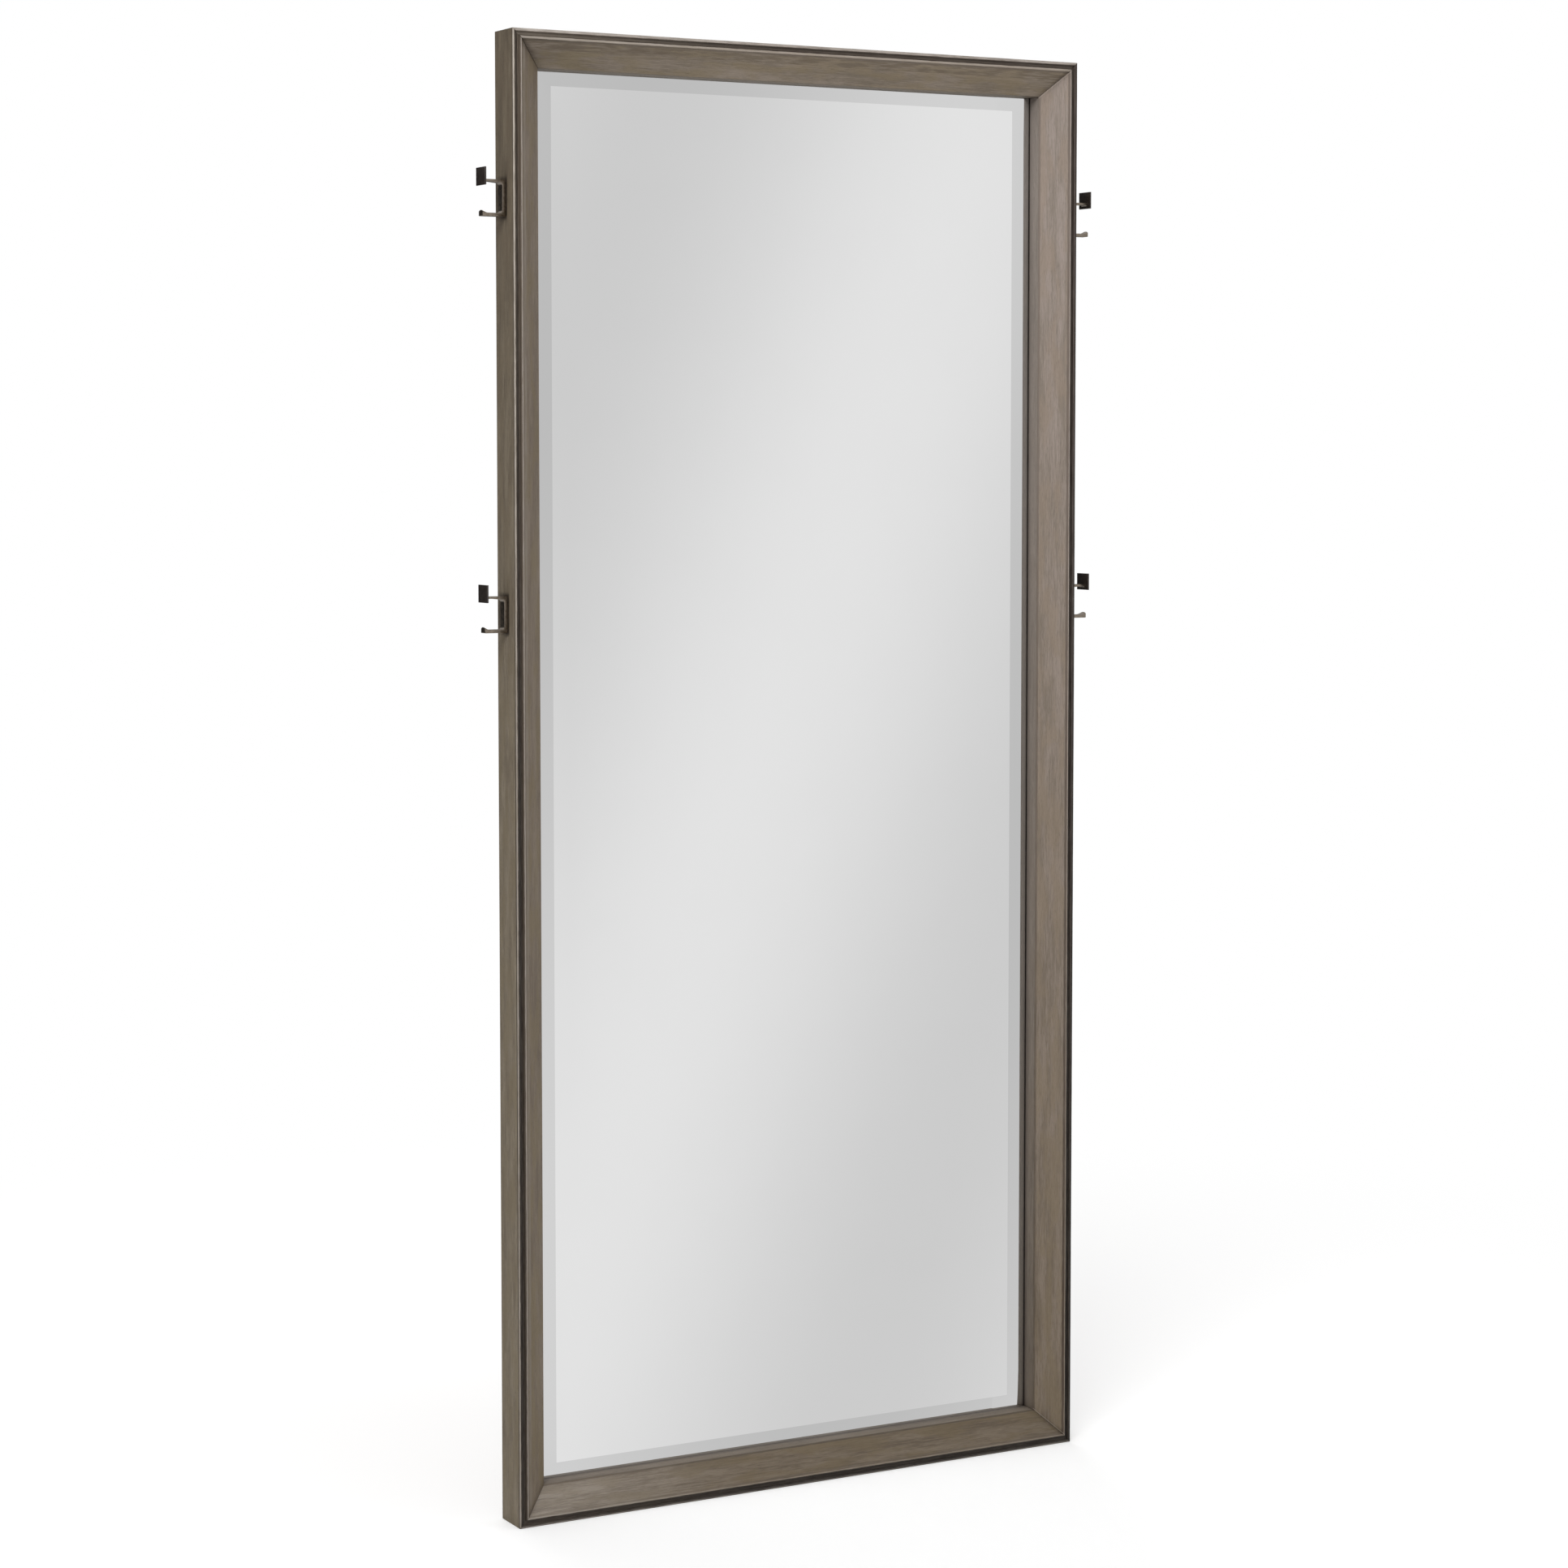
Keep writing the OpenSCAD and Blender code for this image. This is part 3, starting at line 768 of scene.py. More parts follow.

# %% [markdown]
# ### Strips of stain, wear and painted light
# Stain gathers in the groove, and the cloth takes it off the lip and the bead. The same strips also
# carry painted shade in the groove and on the sides that face away from the light, and painted
# highlights on rounded edges. All run along the board as narrow strips. Each strip could be its own
# face with its own material, but a finisher's cloth keeps no straight line. So a strip is a row of
# numbers that the material reads: w and d from and to, how soft its ends are, two tones, and how
# patchy it is. Its edges wander with the grain.

# %% Paint strips along a board
PALE = "b8aea2"
WANDER = 1.4
STRIP_SOFT = 0.2


def between(tree, value, low, high, soft):
    """1 between low and high, with soft ends, all in millimetres."""
    rise = remap(tree, value, (low - soft) * MM, (low + soft) * MM)
    fall = remap(tree, value, (high - soft) * MM, (high + soft) * MM, 1.0, 0.0)
    return times(tree, rise, fall)


def paint_strips(tree, base, strips, place, along, streak):
    """Colours the strips of a section over base."""
    _, w, d = split_place(tree, place)
    drift = grain(tree, place, 0.02, 0.0016, 3.0)
    drift = times(tree, minus(tree, drift, 0.5), WANDER * MM)
    w = plus(tree, w, drift)
    patch = remap(tree, grain(tree, place, 0.03, 0.004), 0.4, 0.62)
    for w0, w1, d0, d1, soft, low, high, patchy in strips:
        across = between(tree, w, w0, w1, STRIP_SOFT)
        inside = times(tree, across, between(tree, d, d0, d1, soft))
        shade = mix_colour(tree, along, low, high)
        shade = mix_colour(tree, times(tree, streak, 0.08), shade, PALE)
        if patchy:
            inside = times(tree, inside, calc(tree, "MULTIPLY_ADD", patch, -patchy, 1.0))
        base = mix_colour(tree, inside, base, shade)
    return base


print("a strip's edges wander by up to", WANDER / 2, "mm")

# %% [markdown]
# ### Colour of a board
# Two tones could be mixed by the grain alone, and the frame would look printed. Real stain also
# has warmer blooms, and shifts from one end of a board to the other as the cloth runs dry. So a
# board has three tones at each end, dark, light and warm, and fades between the ends.

# %% The colour of a board
PORE_TONE = "453b32"
PORE_STRENGTH = 0.2


def stain_colour(tree, place, along, low, high, strips):
    """Colour of a board before its joints, and its streak and pore masks."""
    tone, streak, pore = wood_grain(tree, place)
    dark, light, warm = (mix_colour(tree, along, a, b) for a, b in zip(low, high))
    base = mix_colour(tree, tone, dark, light)
    bloom = grain(tree, place, 0.07, 0.018)
    base = mix_colour(tree, remap(tree, bloom, 0.42, 0.62, 0.0, 0.6), base, warm)
    base = mix_colour(tree, times(tree, pore, PORE_STRENGTH), base, PORE_TONE)
    return paint_strips(tree, base, strips, place, along, streak), streak, pore


print("tones of a board: dark, light and warm, at both of its ends")

# %% [markdown]
# ### Colour at the joints
# End grain drinks stain, so every mitre shows as a fine dark line in a slightly darker zone, and
# on one side the sanded arris beside it stays pale. The line could be modelled as a gap alone, but
# a gap of a tenth of a millimetre drowns in the render's noise.

# %% The colour at the joints
# Tone of the stained mitres, also used for the painted shade round the hooks.
STAIN_AND_SHADE_TONE = "2a221c"
SEAM = (0.2 * MM, 0.9 * MM)
SEAM_STRENGTH = 0.75
ZONE_WIDTH = 14
ZONE_STRENGTH = 0.18
RUBBED_LINE = (1.0, 1.7, 0.25)


def stain_joints_shade_hooks(tree, base, spot, patch, joint, rubbed_joint):
    """Darkens the mitres, paints shade round the hooks, and rubs a pale line beside a mitre."""
    gap = add_node(tree, "ShaderNodeAttribute", attribute_name="mitre_gap").outputs["Fac"]
    seam = remap(tree, gap, *SEAM, SEAM_STRENGTH * joint, 0.0)
    zone = remap(tree, gap, 0.0, ZONE_WIDTH * MM, ZONE_STRENGTH * joint, 0.0)
    stain_and_shade = calc(tree, "MAXIMUM", seam, zone)
    # Painted shade round the hooks, where their bars shade the frame's side.
    if patch:
        hook_shade = times(tree, painted_hook_shade(tree, spot), patch)
        stain_and_shade = calc(tree, "MAXIMUM", stain_and_shade, hook_shade)
    base = mix_colour(tree, stain_and_shade, base, STAIN_AND_SHADE_TONE)
    if rubbed_joint:
        line = times(tree, between(tree, gap, *RUBBED_LINE), rubbed_joint)
        base = mix_colour(tree, line, base, PALE)
    return base


print("stain over a mitre:", SEAM_STRENGTH, "and beside it:", ZONE_STRENGTH)

# %% [markdown]
# ### The whole finish
# A thin satin lacquer lies over the stain. Its gloss is a little lower in the pores, and the
# streaks stand out by less than a hair. Reflections are held back with the specular level, because
# a matt lacquer would otherwise lift the nearly black groove to grey.

# %% The stained wood material
SATIN = 0.25
GLOSS = (0.48, 0.58)
PORE_DULL = 0.12


def stained_wood(name, low, high, fade, strips, patch=0.0, joint=1.0, rubbed_joint=0.0):
    """Stained wood. low and high are the tones at the two ends of fade, an axis and its reach."""
    material, tree, shader = start_material(name)
    place = add_node(tree, "ShaderNodeAttribute", attribute_name="board_place").outputs["Vector"]
    spot = object_place(tree)
    axis, start, end = fade
    along = remap(tree, split_place(tree, spot)[axis], start, end, smooth=False)
    base, streak, pore = stain_colour(tree, place, along, low, high, strips)
    # Stains the mitres and paints the shade round the hooks.
    base = stain_joints_shade_hooks(tree, base, spot, patch, joint, rubbed_joint)
    gloss = remap(tree, streak, 0.0, 1.0, *GLOSS)
    set_look(tree, shader, base, plus(tree, gloss, times(tree, pore, PORE_DULL)))
    shader.inputs["Specular IOR Level"].default_value = SATIN
    relief = minus(tree, times(tree, streak, 0.4), times(tree, pore, 0.6))
    add_relief(tree, shader, relief, 0.35, 0.3 * MM)
    return material


print("specular level of the satin lacquer:", SATIN)

# %% [markdown]
# ### Tones of the four sides
# No two boards took the stain alike. One material for the whole frame would be simpler, but the
# left side of the real frame is olive, the right one pinkish, and the bottom board is pale at its
# left end. The right sloped board and the right liner also grow paler towards their top, which is
# painted light from the lamp on the upper left. So each side gets its own tones, and the fade says
# along which axis, and from where to where, they change.

# %% Tones of the boards
UP = (2, 0.2, 1.8)
NEAR_LEFT = (0, -0.42, -0.1)
FADES = {"left": UP, "right": UP, "top": NEAR_LEFT, "bottom": NEAR_LEFT}
OUTER_FADES = {**FADES, "left": (2, 0.95, 1.8)}
EVEN_OUTER = (("61574a", "7f7462", "6f6350"), ("61574a", "7f7462", "6f6350"))
OUTER_TONES = {
    "left": (("6f6455", "8b806f", "7c705b"), ("5b5144", "776c5b", "685c4d")),
    "right": EVEN_OUTER,
    "top": EVEN_OUTER,
    "bottom": EVEN_OUTER,
}
FACE_TONES = {
    "left": (("675b4d", "7f7364", "75684f"), ("675b4e", "7f7366", "73664f")),
    # Paler towards the top: painted light from the lamp on the upper left.
    "right": (("6a5e50", "827567", "7a6c57"), ("857a6f", "9f928a", "968678")),
    "top": (("675c4f", "81766a", "74684f"), ("74695b", "8f8376", "83755e")),
    "bottom": (("7c7267", "9a9186", "8a8072"), ("5c5144", "766a5b", "695c47")),
}
LINER_TONES = {
    "left": (("6d6358", "81776b", "776b5e"), ("6d6358", "81776b", "776b5e")),
    # Paler towards the top: painted light from the lamp on the upper left.
    "right": (("63594e", "7a7065", "6f6356"), ("7e756d", "958b83", "897f77")),
    "top": (("6d6358", "857a6d", "786c5d"), ("6d6358", "857a6d", "786c5d")),
    "bottom": (("71675c", "887e73", "7d7164"), ("6b6156", "80766a", "756a5c")),
}
print("boards with their own tones:", len(OUTER_TONES) + len(FACE_TONES) + len(LINER_TONES))

# %% [markdown]
# ### Strips of the lip and the groove
# The groove holds stain, and painted shade makes it nearly black at the bottom and on the right,
# while at the top it stays mid-brown. The lip's outer arris is pale on the left, at the top and at
# the bottom, partly from wear and partly as a painted highlight. Painted shade darkens the lip's
# front at the bottom and on the right, and the inner half of the left lip. On the right, a thin
# painted highlight lies on the lip's inner rounding. The rows are painted in order, so a narrow
# strip can lie over a wide one.

# %% Strips of the lip and the groove
# Rows mix stain and wear with painted shade and painted highlights.
LIP_STRIPS = {
    # Left: a pale arris, partly a painted highlight, and painted shade on the lip's inner half.
    "left": [
        (-1.0, 0.6, 1.4, 3.6, 0.3, "2f281f", "4c4338", 0.2),
        (3.5, 12.0, 0.8, 4.5, 0.2, "332a22", "62574c", 0.0),
        (3.5, 7.6, 0.8, 4.5, 0.2, "211912", "382e24", 0.1),
        (1.6, 4.8, -2.0, 1.6, 0.2, "231b13", "675d54", 0.1),
        (2.7, 4.8, -2.0, 1.6, 0.2, "1d150e", "2b2219", 0.0),
        (-1.0, 1.8, -2.0, 1.2, 0.25, "958c83", "b8afa4", 0.4),
    ],
    # Right: painted shade on the lip and in the groove, and a thin painted highlight on the lip's
    # inner rounding.
    "right": [
        (3.5, 12.0, 0.8, 4.5, 0.2, "140d08", "30261f", 0.0),
        (-1.0, 4.8, -2.0, 0.9, 0.2, "150f0a", "342b26", 0.0),
        (3.9, 4.9, -2.0, 1.2, 0.2, "2c231c", "625652", 0.3),
        (-1.0, 0.9, -2.0, 3.0, 0.3, "19120d", "39302d", 0.2),
    ],
    "top": [
        (3.5, 12.0, 0.8, 4.5, 0.2, "685e53", "443a32", 0.0),
        (8.6, 12.0, 0.8, 4.5, 0.2, "3a3028", "332922", 0.2),
        (-1.0, 4.8, -2.0, 1.0, 0.2, "665b51", "544a42", 0.0),
        (-1.0, 3.4, -2.0, 1.2, 0.25, "b4aca4", "a69d95", 0.35),
    ],
    # Bottom: painted shade in the groove and on the lip's front.
    "bottom": [
        (3.5, 12.0, 0.8, 4.5, 0.2, "372e26", "231c15", 0.0),
        (-1.0, 4.8, -2.0, 0.9, 0.2, "302821", "1d1712", 0.0),
        (-1.0, 2.1, -2.0, 1.2, 0.25, "7f7771", "6b655e", 0.35),
    ],
}
print("strips on the outer boards:", sum(len(rows) for rows in LIP_STRIPS.values()))

# %% [markdown]
# ### Strips of the bead and the sight edge
# The bead's crest is pale, partly from wear and partly as a painted highlight, and painted shade
# makes its other half as dark as the groove: the outer half on the left, at the top and at the
# bottom, the inner half on the right. A thin darker line lies at its foot. At the sight edge, where
# the slope turns to the liner, a thin line of painted shade runs along the edge.

# %% Strips of the bead and the sight edge
# Painted shade and painted highlights on the bead, and painted shade at the sight edge.
BEAD_STRIPS = {
    "left": [
        (9.0, 11.4, -2.0, 4.5, 0.2, "3c332a", "5a4f44", 0.1),
        (13.2, 15.0, 0.9, 3.0, 0.3, "5d5348", "655a4f", 0.5),
        (15.4, 20.5, 1.5, 9.0, 1.4, "786e62", "7d7368", 0.6),
        (11.3, 13.1, -2.0, 1.4, 0.2, "918880", "a0978e", 0.3),
        (47.0, 48.5, 24.0, 29.0, 0.3, "5f564b", "6a6056", 0.4),
    ],
    "right": [
        (9.0, 9.9, -2.0, 4.5, 0.2, "221912", "3a302a", 0.0),
        (11.0, 14.3, -2.0, 3.0, 0.3, "45382c", "766a61", 0.15),
        (9.8, 11.1, -2.0, 1.2, 0.2, "8a7e70", "baaea6", 0.3),
        (45.4, 48.5, 23.0, 29.0, 0.3, "53483c", "786c63", 0.15),
    ],
    "top": [
        (9.0, 9.9, -2.0, 4.5, 0.2, "3a3028", "332922", 0.0),
        (12.9, 15.2, 0.0, 3.0, 0.3, "544a3f", "695e53", 0.3),
        (15.2, 25.0, 1.5, 12.0, 2.0, "5e5346", "6b5f50", 0.85),
        (9.9, 12.8, -2.0, 1.2, 0.2, "a0978d", "9d9287", 0.3),
    ],
    "bottom": [
        (9.0, 11.2, -2.0, 4.5, 0.2, "372e26", "28211a", 0.1),
        (13.2, 15.0, 0.9, 3.0, 0.3, "786e62", "5c5246", 0.4),
        (10.9, 12.7, -2.0, 1.4, 0.2, "989086", "82776a", 0.3),
        (45.6, 48.5, 23.0, 29.0, 0.3, "6a5f54", "50463b", 0.15),
    ],
}
print("strips on the sloped boards:", sum(len(rows) for rows in BEAD_STRIPS.values()))

# %% [markdown]
# ### Strips of the liners
# Painted shade darkens each liner towards the glass, and on the right and at the bottom it ends in
# a dark line where liner and glass meet. There, a thin line of painted shadow also lies just behind
# the slope's sight edge. The top liner is seen only from below, and has none.

# %% Strips of the liners
# Painted shade towards the glass, and a thin painted shadow behind the sight edge.
LINER_STRIPS = {
    "left": [(46.0, 49.0, 46.0, 52.0, 2.5, "50463d", "50463d", 0.0)],
    "right": [
        (46.0, 49.0, 44.0, 52.0, 5.0, "51463e", "766c65", 0.1),
        (46.0, 49.0, 48.9, 52.0, 0.3, "1d1610", "241c16", 0.0),
        (46.0, 49.0, 25.0, 27.6, 0.3, "584e42", "80766c", 0.2),
    ],
    "top": [],
    "bottom": [
        (46.0, 49.0, 46.0, 52.0, 3.0, "5f554b", "5a5047", 0.1),
        (46.0, 49.0, 50.0, 52.0, 0.3, "4a4138", "403830", 0.0),
        (46.0, 49.0, 25.0, 27.4, 0.3, "62584e", "544a40", 0.2),
    ],
}
print("strips on the liners:", sum(len(rows) for rows in LINER_STRIPS.values()))

# %% [markdown]
# ### Wood for every board
# Each of the twelve boards now gets its finish from its tones and strips. They differ in how dark
# their mitres are: the joints of the outer boards hardly show, and those of the sloped boards show
# most at the top left.

# %% Wood for every board
MITRE_STAIN = {"left": 1.0, "top": 1.0, "right": 0.6, "bottom": 0.5}
RUBBED_MITRE = {"left": 0.0, "top": 0.0, "right": 0.4, "bottom": 0.0}
OUTER_JOINT = 0.4
LINER_JOINT = 0.6
# Strength of the painted shade round the hooks.
HOOK_SHADE_STRENGTH = 0.84
OUTER_WOOD = {}
SLOPED_WOOD = {}
LINER_WOOD = {}
for side, fade in FADES.items():
    OUTER_WOOD[side] = stained_wood(
        f"stained_outer_{side}", *OUTER_TONES[side], OUTER_FADES[side], LIP_STRIPS[side],
        patch=HOOK_SHADE_STRENGTH, joint=OUTER_JOINT,
    )
    SLOPED_WOOD[side] = stained_wood(
        f"stained_slope_{side}", *FACE_TONES[side], fade, BEAD_STRIPS[side],
        joint=MITRE_STAIN[side], rubbed_joint=RUBBED_MITRE[side],
    )
    LINER_WOOD[side] = stained_wood(
        f"stained_liner_{side}", *LINER_TONES[side], fade, LINER_STRIPS[side], joint=LINER_JOINT,
    )
print("stained materials:", len(OUTER_WOOD) + len(SLOPED_WOOD) + len(LINER_WOOD))

# %% [markdown]
# ## The boards of the frame
# Four sides, three boards each: twelve pieces, as in the real frame. They could be joined into one
# mesh, but then no board could take its own stretch of grain, and nobody could take the frame
# apart.

# %% Outer boards, sloped boards and liners
BOARD_KINDS = (
    ("outer_board", "casing", CASING_SECTION, "frame_wood", OUTER_WOOD, 1),
    ("sloped_board", "face", FACE_SECTION, "frame_wood", SLOPED_WOOD, 11),
    ("liner_board", "liner", LINER_SECTION, "liner_wood", LINER_WOOD, 21),
)
for number, side in enumerate(TURNS):
    faces = []
    for kind, node, section, slot, wood, first_seed in BOARD_KINDS:
        recess = kind == "outer_board" and side in UPRIGHTS
        board = make_board(f"{kind}_{side}", section, side, first_seed + number, recess)
        settle(board, slot, [wood[side]], f"{node}_{side}")
        faces.append(len(board.data.polygons))
    print(side, "boards, faces:", faces)

# %% [markdown]
# ## The glass
# The glass is a thin slab, and its front is ground away to a broad bevel all round. A bevel on the
# slab's edges would make it equally wide everywhere. On this mirror it is wider on the long edges,
# so an inset marks where the bevel starts, the inner face is narrowed sideways, and pulling it
# forward tilts the bevel.

# %% The bevelled slab
BEVEL_SIDE = 38
BEVEL_END = 28
BEVEL_DROP = 1.6
GLASS_GAP = 0.3
GLASS_HALF_W = FRAME_W / 2 - GLASS_W - GLASS_GAP
GLASS_HALF_H = FRAME_H / 2 - GLASS_W - GLASS_GAP
FIELD, BEVEL, EDGE = 0, 1, 2

edge_t = PANEL_D - GLASS_D - BEVEL_DROP
middle_y = PANEL_D - edge_t / 2 - FRAME_D / 2
bm = start_box((2 * GLASS_HALF_W, edge_t, 2 * GLASS_HALF_H), (0, middle_y, FRAME_H / 2))
front = min(bm.faces, key=lambda f: f.calc_center_median().y)
made = bmesh.ops.inset_individual(
    bm, faces=[front], thickness=BEVEL_END * MM, depth=0, use_even_offset=True,
)
stretch_x = (GLASS_HALF_W - BEVEL_SIDE) / (GLASS_HALF_W - BEVEL_END)
bmesh.ops.scale(bm, verts=front.verts, vec=(stretch_x, 1, 1))
bmesh.ops.translate(bm, verts=front.verts, vec=(0, -BEVEL_DROP * MM, 0))
for face in bm.faces:
    face.material_index = EDGE
for face in made["faces"]:
    face.material_index = BEVEL
front.material_index = FIELD
print("glass:", 2 * GLASS_HALF_W, "x", 2 * GLASS_HALF_H, "mm, faces", len(bm.faces))

# %% [markdown]
# A bevel is a wedge of glass over silver, and a wedge bends what it reflects. Real glass with the
# silver behind it would do that, but a thin refracting slab is slow and noisy. So the silver lies
# on the front, and each bevel's normals lean the way that the wedge would throw its picture. Where
# two bevels meet, both wedges work, and their leans add up. Cuts near the corners let the leans
# change there.

# %% Lean the reflections in the bevels
BEVEL_LEAN = {
    "left": (0.005, 0.0), "right": (-0.090, 0.0),
    "top": (-0.0075, -0.0286), "bottom": (0.038, 0.087),
}
CORNER_ZONE_W = 25
CORNER_ZONE_H = 35
CORNER_X = GLASS_HALF_W - BEVEL_SIDE - CORNER_ZONE_W
CORNER_Z = GLASS_HALF_H - BEVEL_END - CORNER_ZONE_H
MIDDLE_Z = FRAME_H / 2

for sign in (-1, 1):
    upright_cut = ((sign * CORNER_X, 0, 0), (1, 0, 0))
    level_cut = ((0, 0, MIDDLE_Z + sign * CORNER_Z), (0, 0, 1))
    for spot, normal in (upright_cut, level_cut):
        everything = bm.verts[:] + bm.edges[:] + bm.faces[:]
        bmesh.ops.bisect_plane(bm, geom=everything, plane_co=Vector(spot) * MM, plane_no=normal)
glass = close_piece(bm, "bevelled_glass")


def bevel_normal(face, place):
    """Normal of the reflections at one corner of a bevel's face."""
    across = "left" if place.x < 0 else "right"
    along = "bottom" if place.z < MIDDLE_Z * MM else "top"
    if abs(face.normal.x) > abs(face.normal.z):
        near_corner = abs(place.z - MIDDLE_Z * MM) > (CORNER_Z + 1) * MM
        bevels = [across, along] if near_corner else [across]
    else:
        near_corner = abs(face.center.x) > CORNER_X * MM
        bevels = [along, across] if near_corner else [along]
    lean_x = sum(BEVEL_LEAN[bevel][0] for bevel in bevels)
    lean_z = sum(BEVEL_LEAN[bevel][1] for bevel in bevels)
    return Vector((lean_x, -1, lean_z)).normalized()


normals = []
for face in glass.data.polygons:
    for index in face.vertices:
        place = glass.data.vertices[index].co
        leans = face.material_index == BEVEL
        normals.append(bevel_normal(face, place) if leans else face.normal.copy())
glass.data.normals_split_custom_set(normals)
print("glass faces after the cuts:", len(glass.data.polygons))

# %% [markdown]
# ## Silver, bevel and cut edge
# A mirror is a bright metal seen through clear glass. A metallic surface of full brightness looks
# like a hole in the picture, so the silver keeps a few percent for itself and has a faint haze.
# The bevel throws part of the light aside, so it reads a shade darker. Beside the upright liners a
# thin dark line is painted into the silver: a painted reflection of the dark rebate behind them.

# %% The silver
SILVER = (0.84, 0.84, 0.84, 1.0)
BEVEL_SILVER = (0.70, 0.70, 0.70, 1.0)
HAZE = (9.0, 3.0, 0.6)
HAZE_TONE = (0.5, 0.5, 0.5, 1.0)
HAZE_SHARE = 0.02
HAZE_ROUGHNESS = (0.008, 0.02)
# Painted reflection of the dark rebate, a thin line in the silver beside the upright liners.
REBATE_REFLECTION_TONE = (0.12, 0.11, 0.10, 1.0)
REBATE_LINE = (0.6 * MM, 1.8 * MM)


def silver(name, tint):
    """Silvered glass with faint haze and a painted reflection of the rebate, a dark line beside the
    upright liners.
    """
    material, tree, shader = start_material(name)
    spot = object_place(tree)
    from_middle = calc(tree, "ABSOLUTE", split_place(tree, spot)[0])
    gap = minus(tree, (FRAME_W / 2 - SIGHT_W) * MM, from_middle)
    # Mask of the painted reflection of the rebate.
    rebate = remap(tree, gap, *REBATE_LINE, 1.0, 0.0)
    haze = cloud(tree, spot, *HAZE)
    clear = mix_colour(tree, remap(tree, haze, 0.3, 0.8, 0.0, HAZE_SHARE), tint, HAZE_TONE)
    base = mix_colour(tree, rebate, clear, REBATE_REFLECTION_TONE)
    set_look(tree, shader, base, remap(tree, haze, 0.3, 0.8, *HAZE_ROUGHNESS), metal=1.0)
    return material


FIELD_SILVER = silver("silvered_field", SILVER)
BEVEL_FINISH = silver("silvered_bevel", BEVEL_SILVER)
print("silver:", FIELD_SILVER.name, "and", BEVEL_FINISH.name)

# %% [markdown]
# The cut edge of the glass sits in the rebate and is hardly seen. It is green and frosted, as sawn
# glass is. Real refraction would cost time and show nothing more, so it is a rough, tinted surface
# with fine grinding marks.

# %% The cut edge, and the glass in its place
GRIND = (900.0, 3.0, 0.6)

CUT_GLASS, tree, shader = start_material("cut_glass_edge")
grind = cloud(tree, object_place(tree), *GRIND)
frosted = mix_colour(tree, grind, "4f6a62", "7d968d")
set_look(tree, shader, frosted, remap(tree, grind, 0.2, 0.8, 0.3, 0.55))
settle(glass, "mirror", [FIELD_SILVER, BEVEL_FINISH, CUT_GLASS], "mirror_glass")
print("finishes on the glass:", len(glass.data.materials))

# %% [markdown]
# ## The coat hooks
# Each hook is a casting: a bar that lies on the frame's side, an upper arm that grows thinner
# towards its rectangular cap, and a lower prong that swells to a domed tip. It could be built from
# boxes that are joined, but a casting has no seams. So the side view is drawn once, as an outline.
# The arm's underside is a row of points, because it tapers and then flares where it meets the cap.

# %% The side view of a hook
HOOK_H = 48
BAR_T = 6
FOOT_T = 1.5
ARM_T = 4.4
ARM_REACH = 32
ARM_TAPER = 1.5
ARM_FLARE = 1.7
ARM_FLARE_L = 4
HOOK_FILLET = 4
PRONG_REACH = 34
TIP_L = 8
TIP_H = 8.2
TIP_STEPS = 7
TAPER_FROM = 8
TAPER_L = 16
ARM_XS = (11, 14, 17, 20, 24, 28, 29.3, 30.4, 31.3, ARM_REACH)


def arm_lift(x):
    """How far the upper arm's underside lies above its line at the bar: a taper, then a flare."""
    share = min(max((x - TAPER_FROM) / TAPER_L, 0), 1)
    flare = max(x - (ARM_REACH - ARM_FLARE_L), 0) / ARM_FLARE_L
    return ARM_TAPER * share - ARM_FLARE * flare ** 2


def bracket_outline():
    """Corners of the hook's side view, x out of the frame: x, z, radius."""
    low = -HOOK_H / 2
    rise = TIP_H - ARM_T
    swell_r = (TIP_L * TIP_L + rise * rise) / (2 * rise)
    swell = []
    for step in range(1, TIP_STEPS):
        x = TIP_L * step / TIP_STEPS
        z = low + ARM_T + swell_r - math.sqrt(swell_r ** 2 - x * x)
        swell.append((PRONG_REACH - TIP_L + x, z, 0))
    under_arm = HOOK_H / 2 - ARM_T
    return [
        (FOOT_T, low, 0),
        (PRONG_REACH, low, 1.0),
        (PRONG_REACH, low + TIP_H, 0.6),
        *swell[::-1],
        (PRONG_REACH - TIP_L, low + ARM_T, 0),
        (BAR_T, low + ARM_T, HOOK_FILLET),
        (BAR_T, under_arm, HOOK_FILLET),
        *[(x, under_arm + arm_lift(x), 0) for x in ARM_XS],
        (ARM_REACH, HOOK_H / 2, 0),
        (FOOT_T, HOOK_H / 2, 0),
    ]


print("corners in the hook's side view:", len(bracket_outline()))

# %% [markdown]
# The outline is pulled to the hook's width in thin slices. The slices at the tip are then pressed
# down to a dome: sculpting would do it too, but a circle's arc gives the same dome on all four
# hooks.

# %% Pull the side view and press the dome
HOOK_W = 12.6
SLICES = 12
FILLET_SEGMENTS = 5
TIP_DOME = 2.4


def dome_height(y):
    """Top of the domed tip at y, in millimetres."""
    radius = (HOOK_W ** 2 / 4 + TIP_DOME ** 2) / (2 * TIP_DOME)
    return -HOOK_H / 2 + TIP_H - radius + math.sqrt(radius ** 2 - y * y)


def pull_side_view(bm):
    """Draws the side view and pulls it to the hook's width."""
    corners = bracket_outline()
    places = [(x, -HOOK_W / 2, z) for x, z, _ in corners]
    rounded_face(bm, places, [radius for _, _, radius in corners], FILLET_SEGMENTS)
    _, far, across = extrude_all(bm)
    bmesh.ops.translate(bm, verts=far, vec=(0, HOOK_W * MM, 0))
    bmesh.ops.subdivide_edges(bm, edges=across, cuts=SLICES - 1, use_grid_fill=False)


def press_dome(bm):
    """Presses the prong's tip down to a dome."""
    for vert in bm.verts:
        top = dome_height(vert.co.y / MM) * MM
        if vert.co.x > BAR_T * MM and vert.co.z < 0 and vert.co.z > top:
            vert.co.z = top


trial = bmesh.new()
pull_side_view(trial)
print("faces of a hook before its foot:", len(trial.faces))
trial.free()

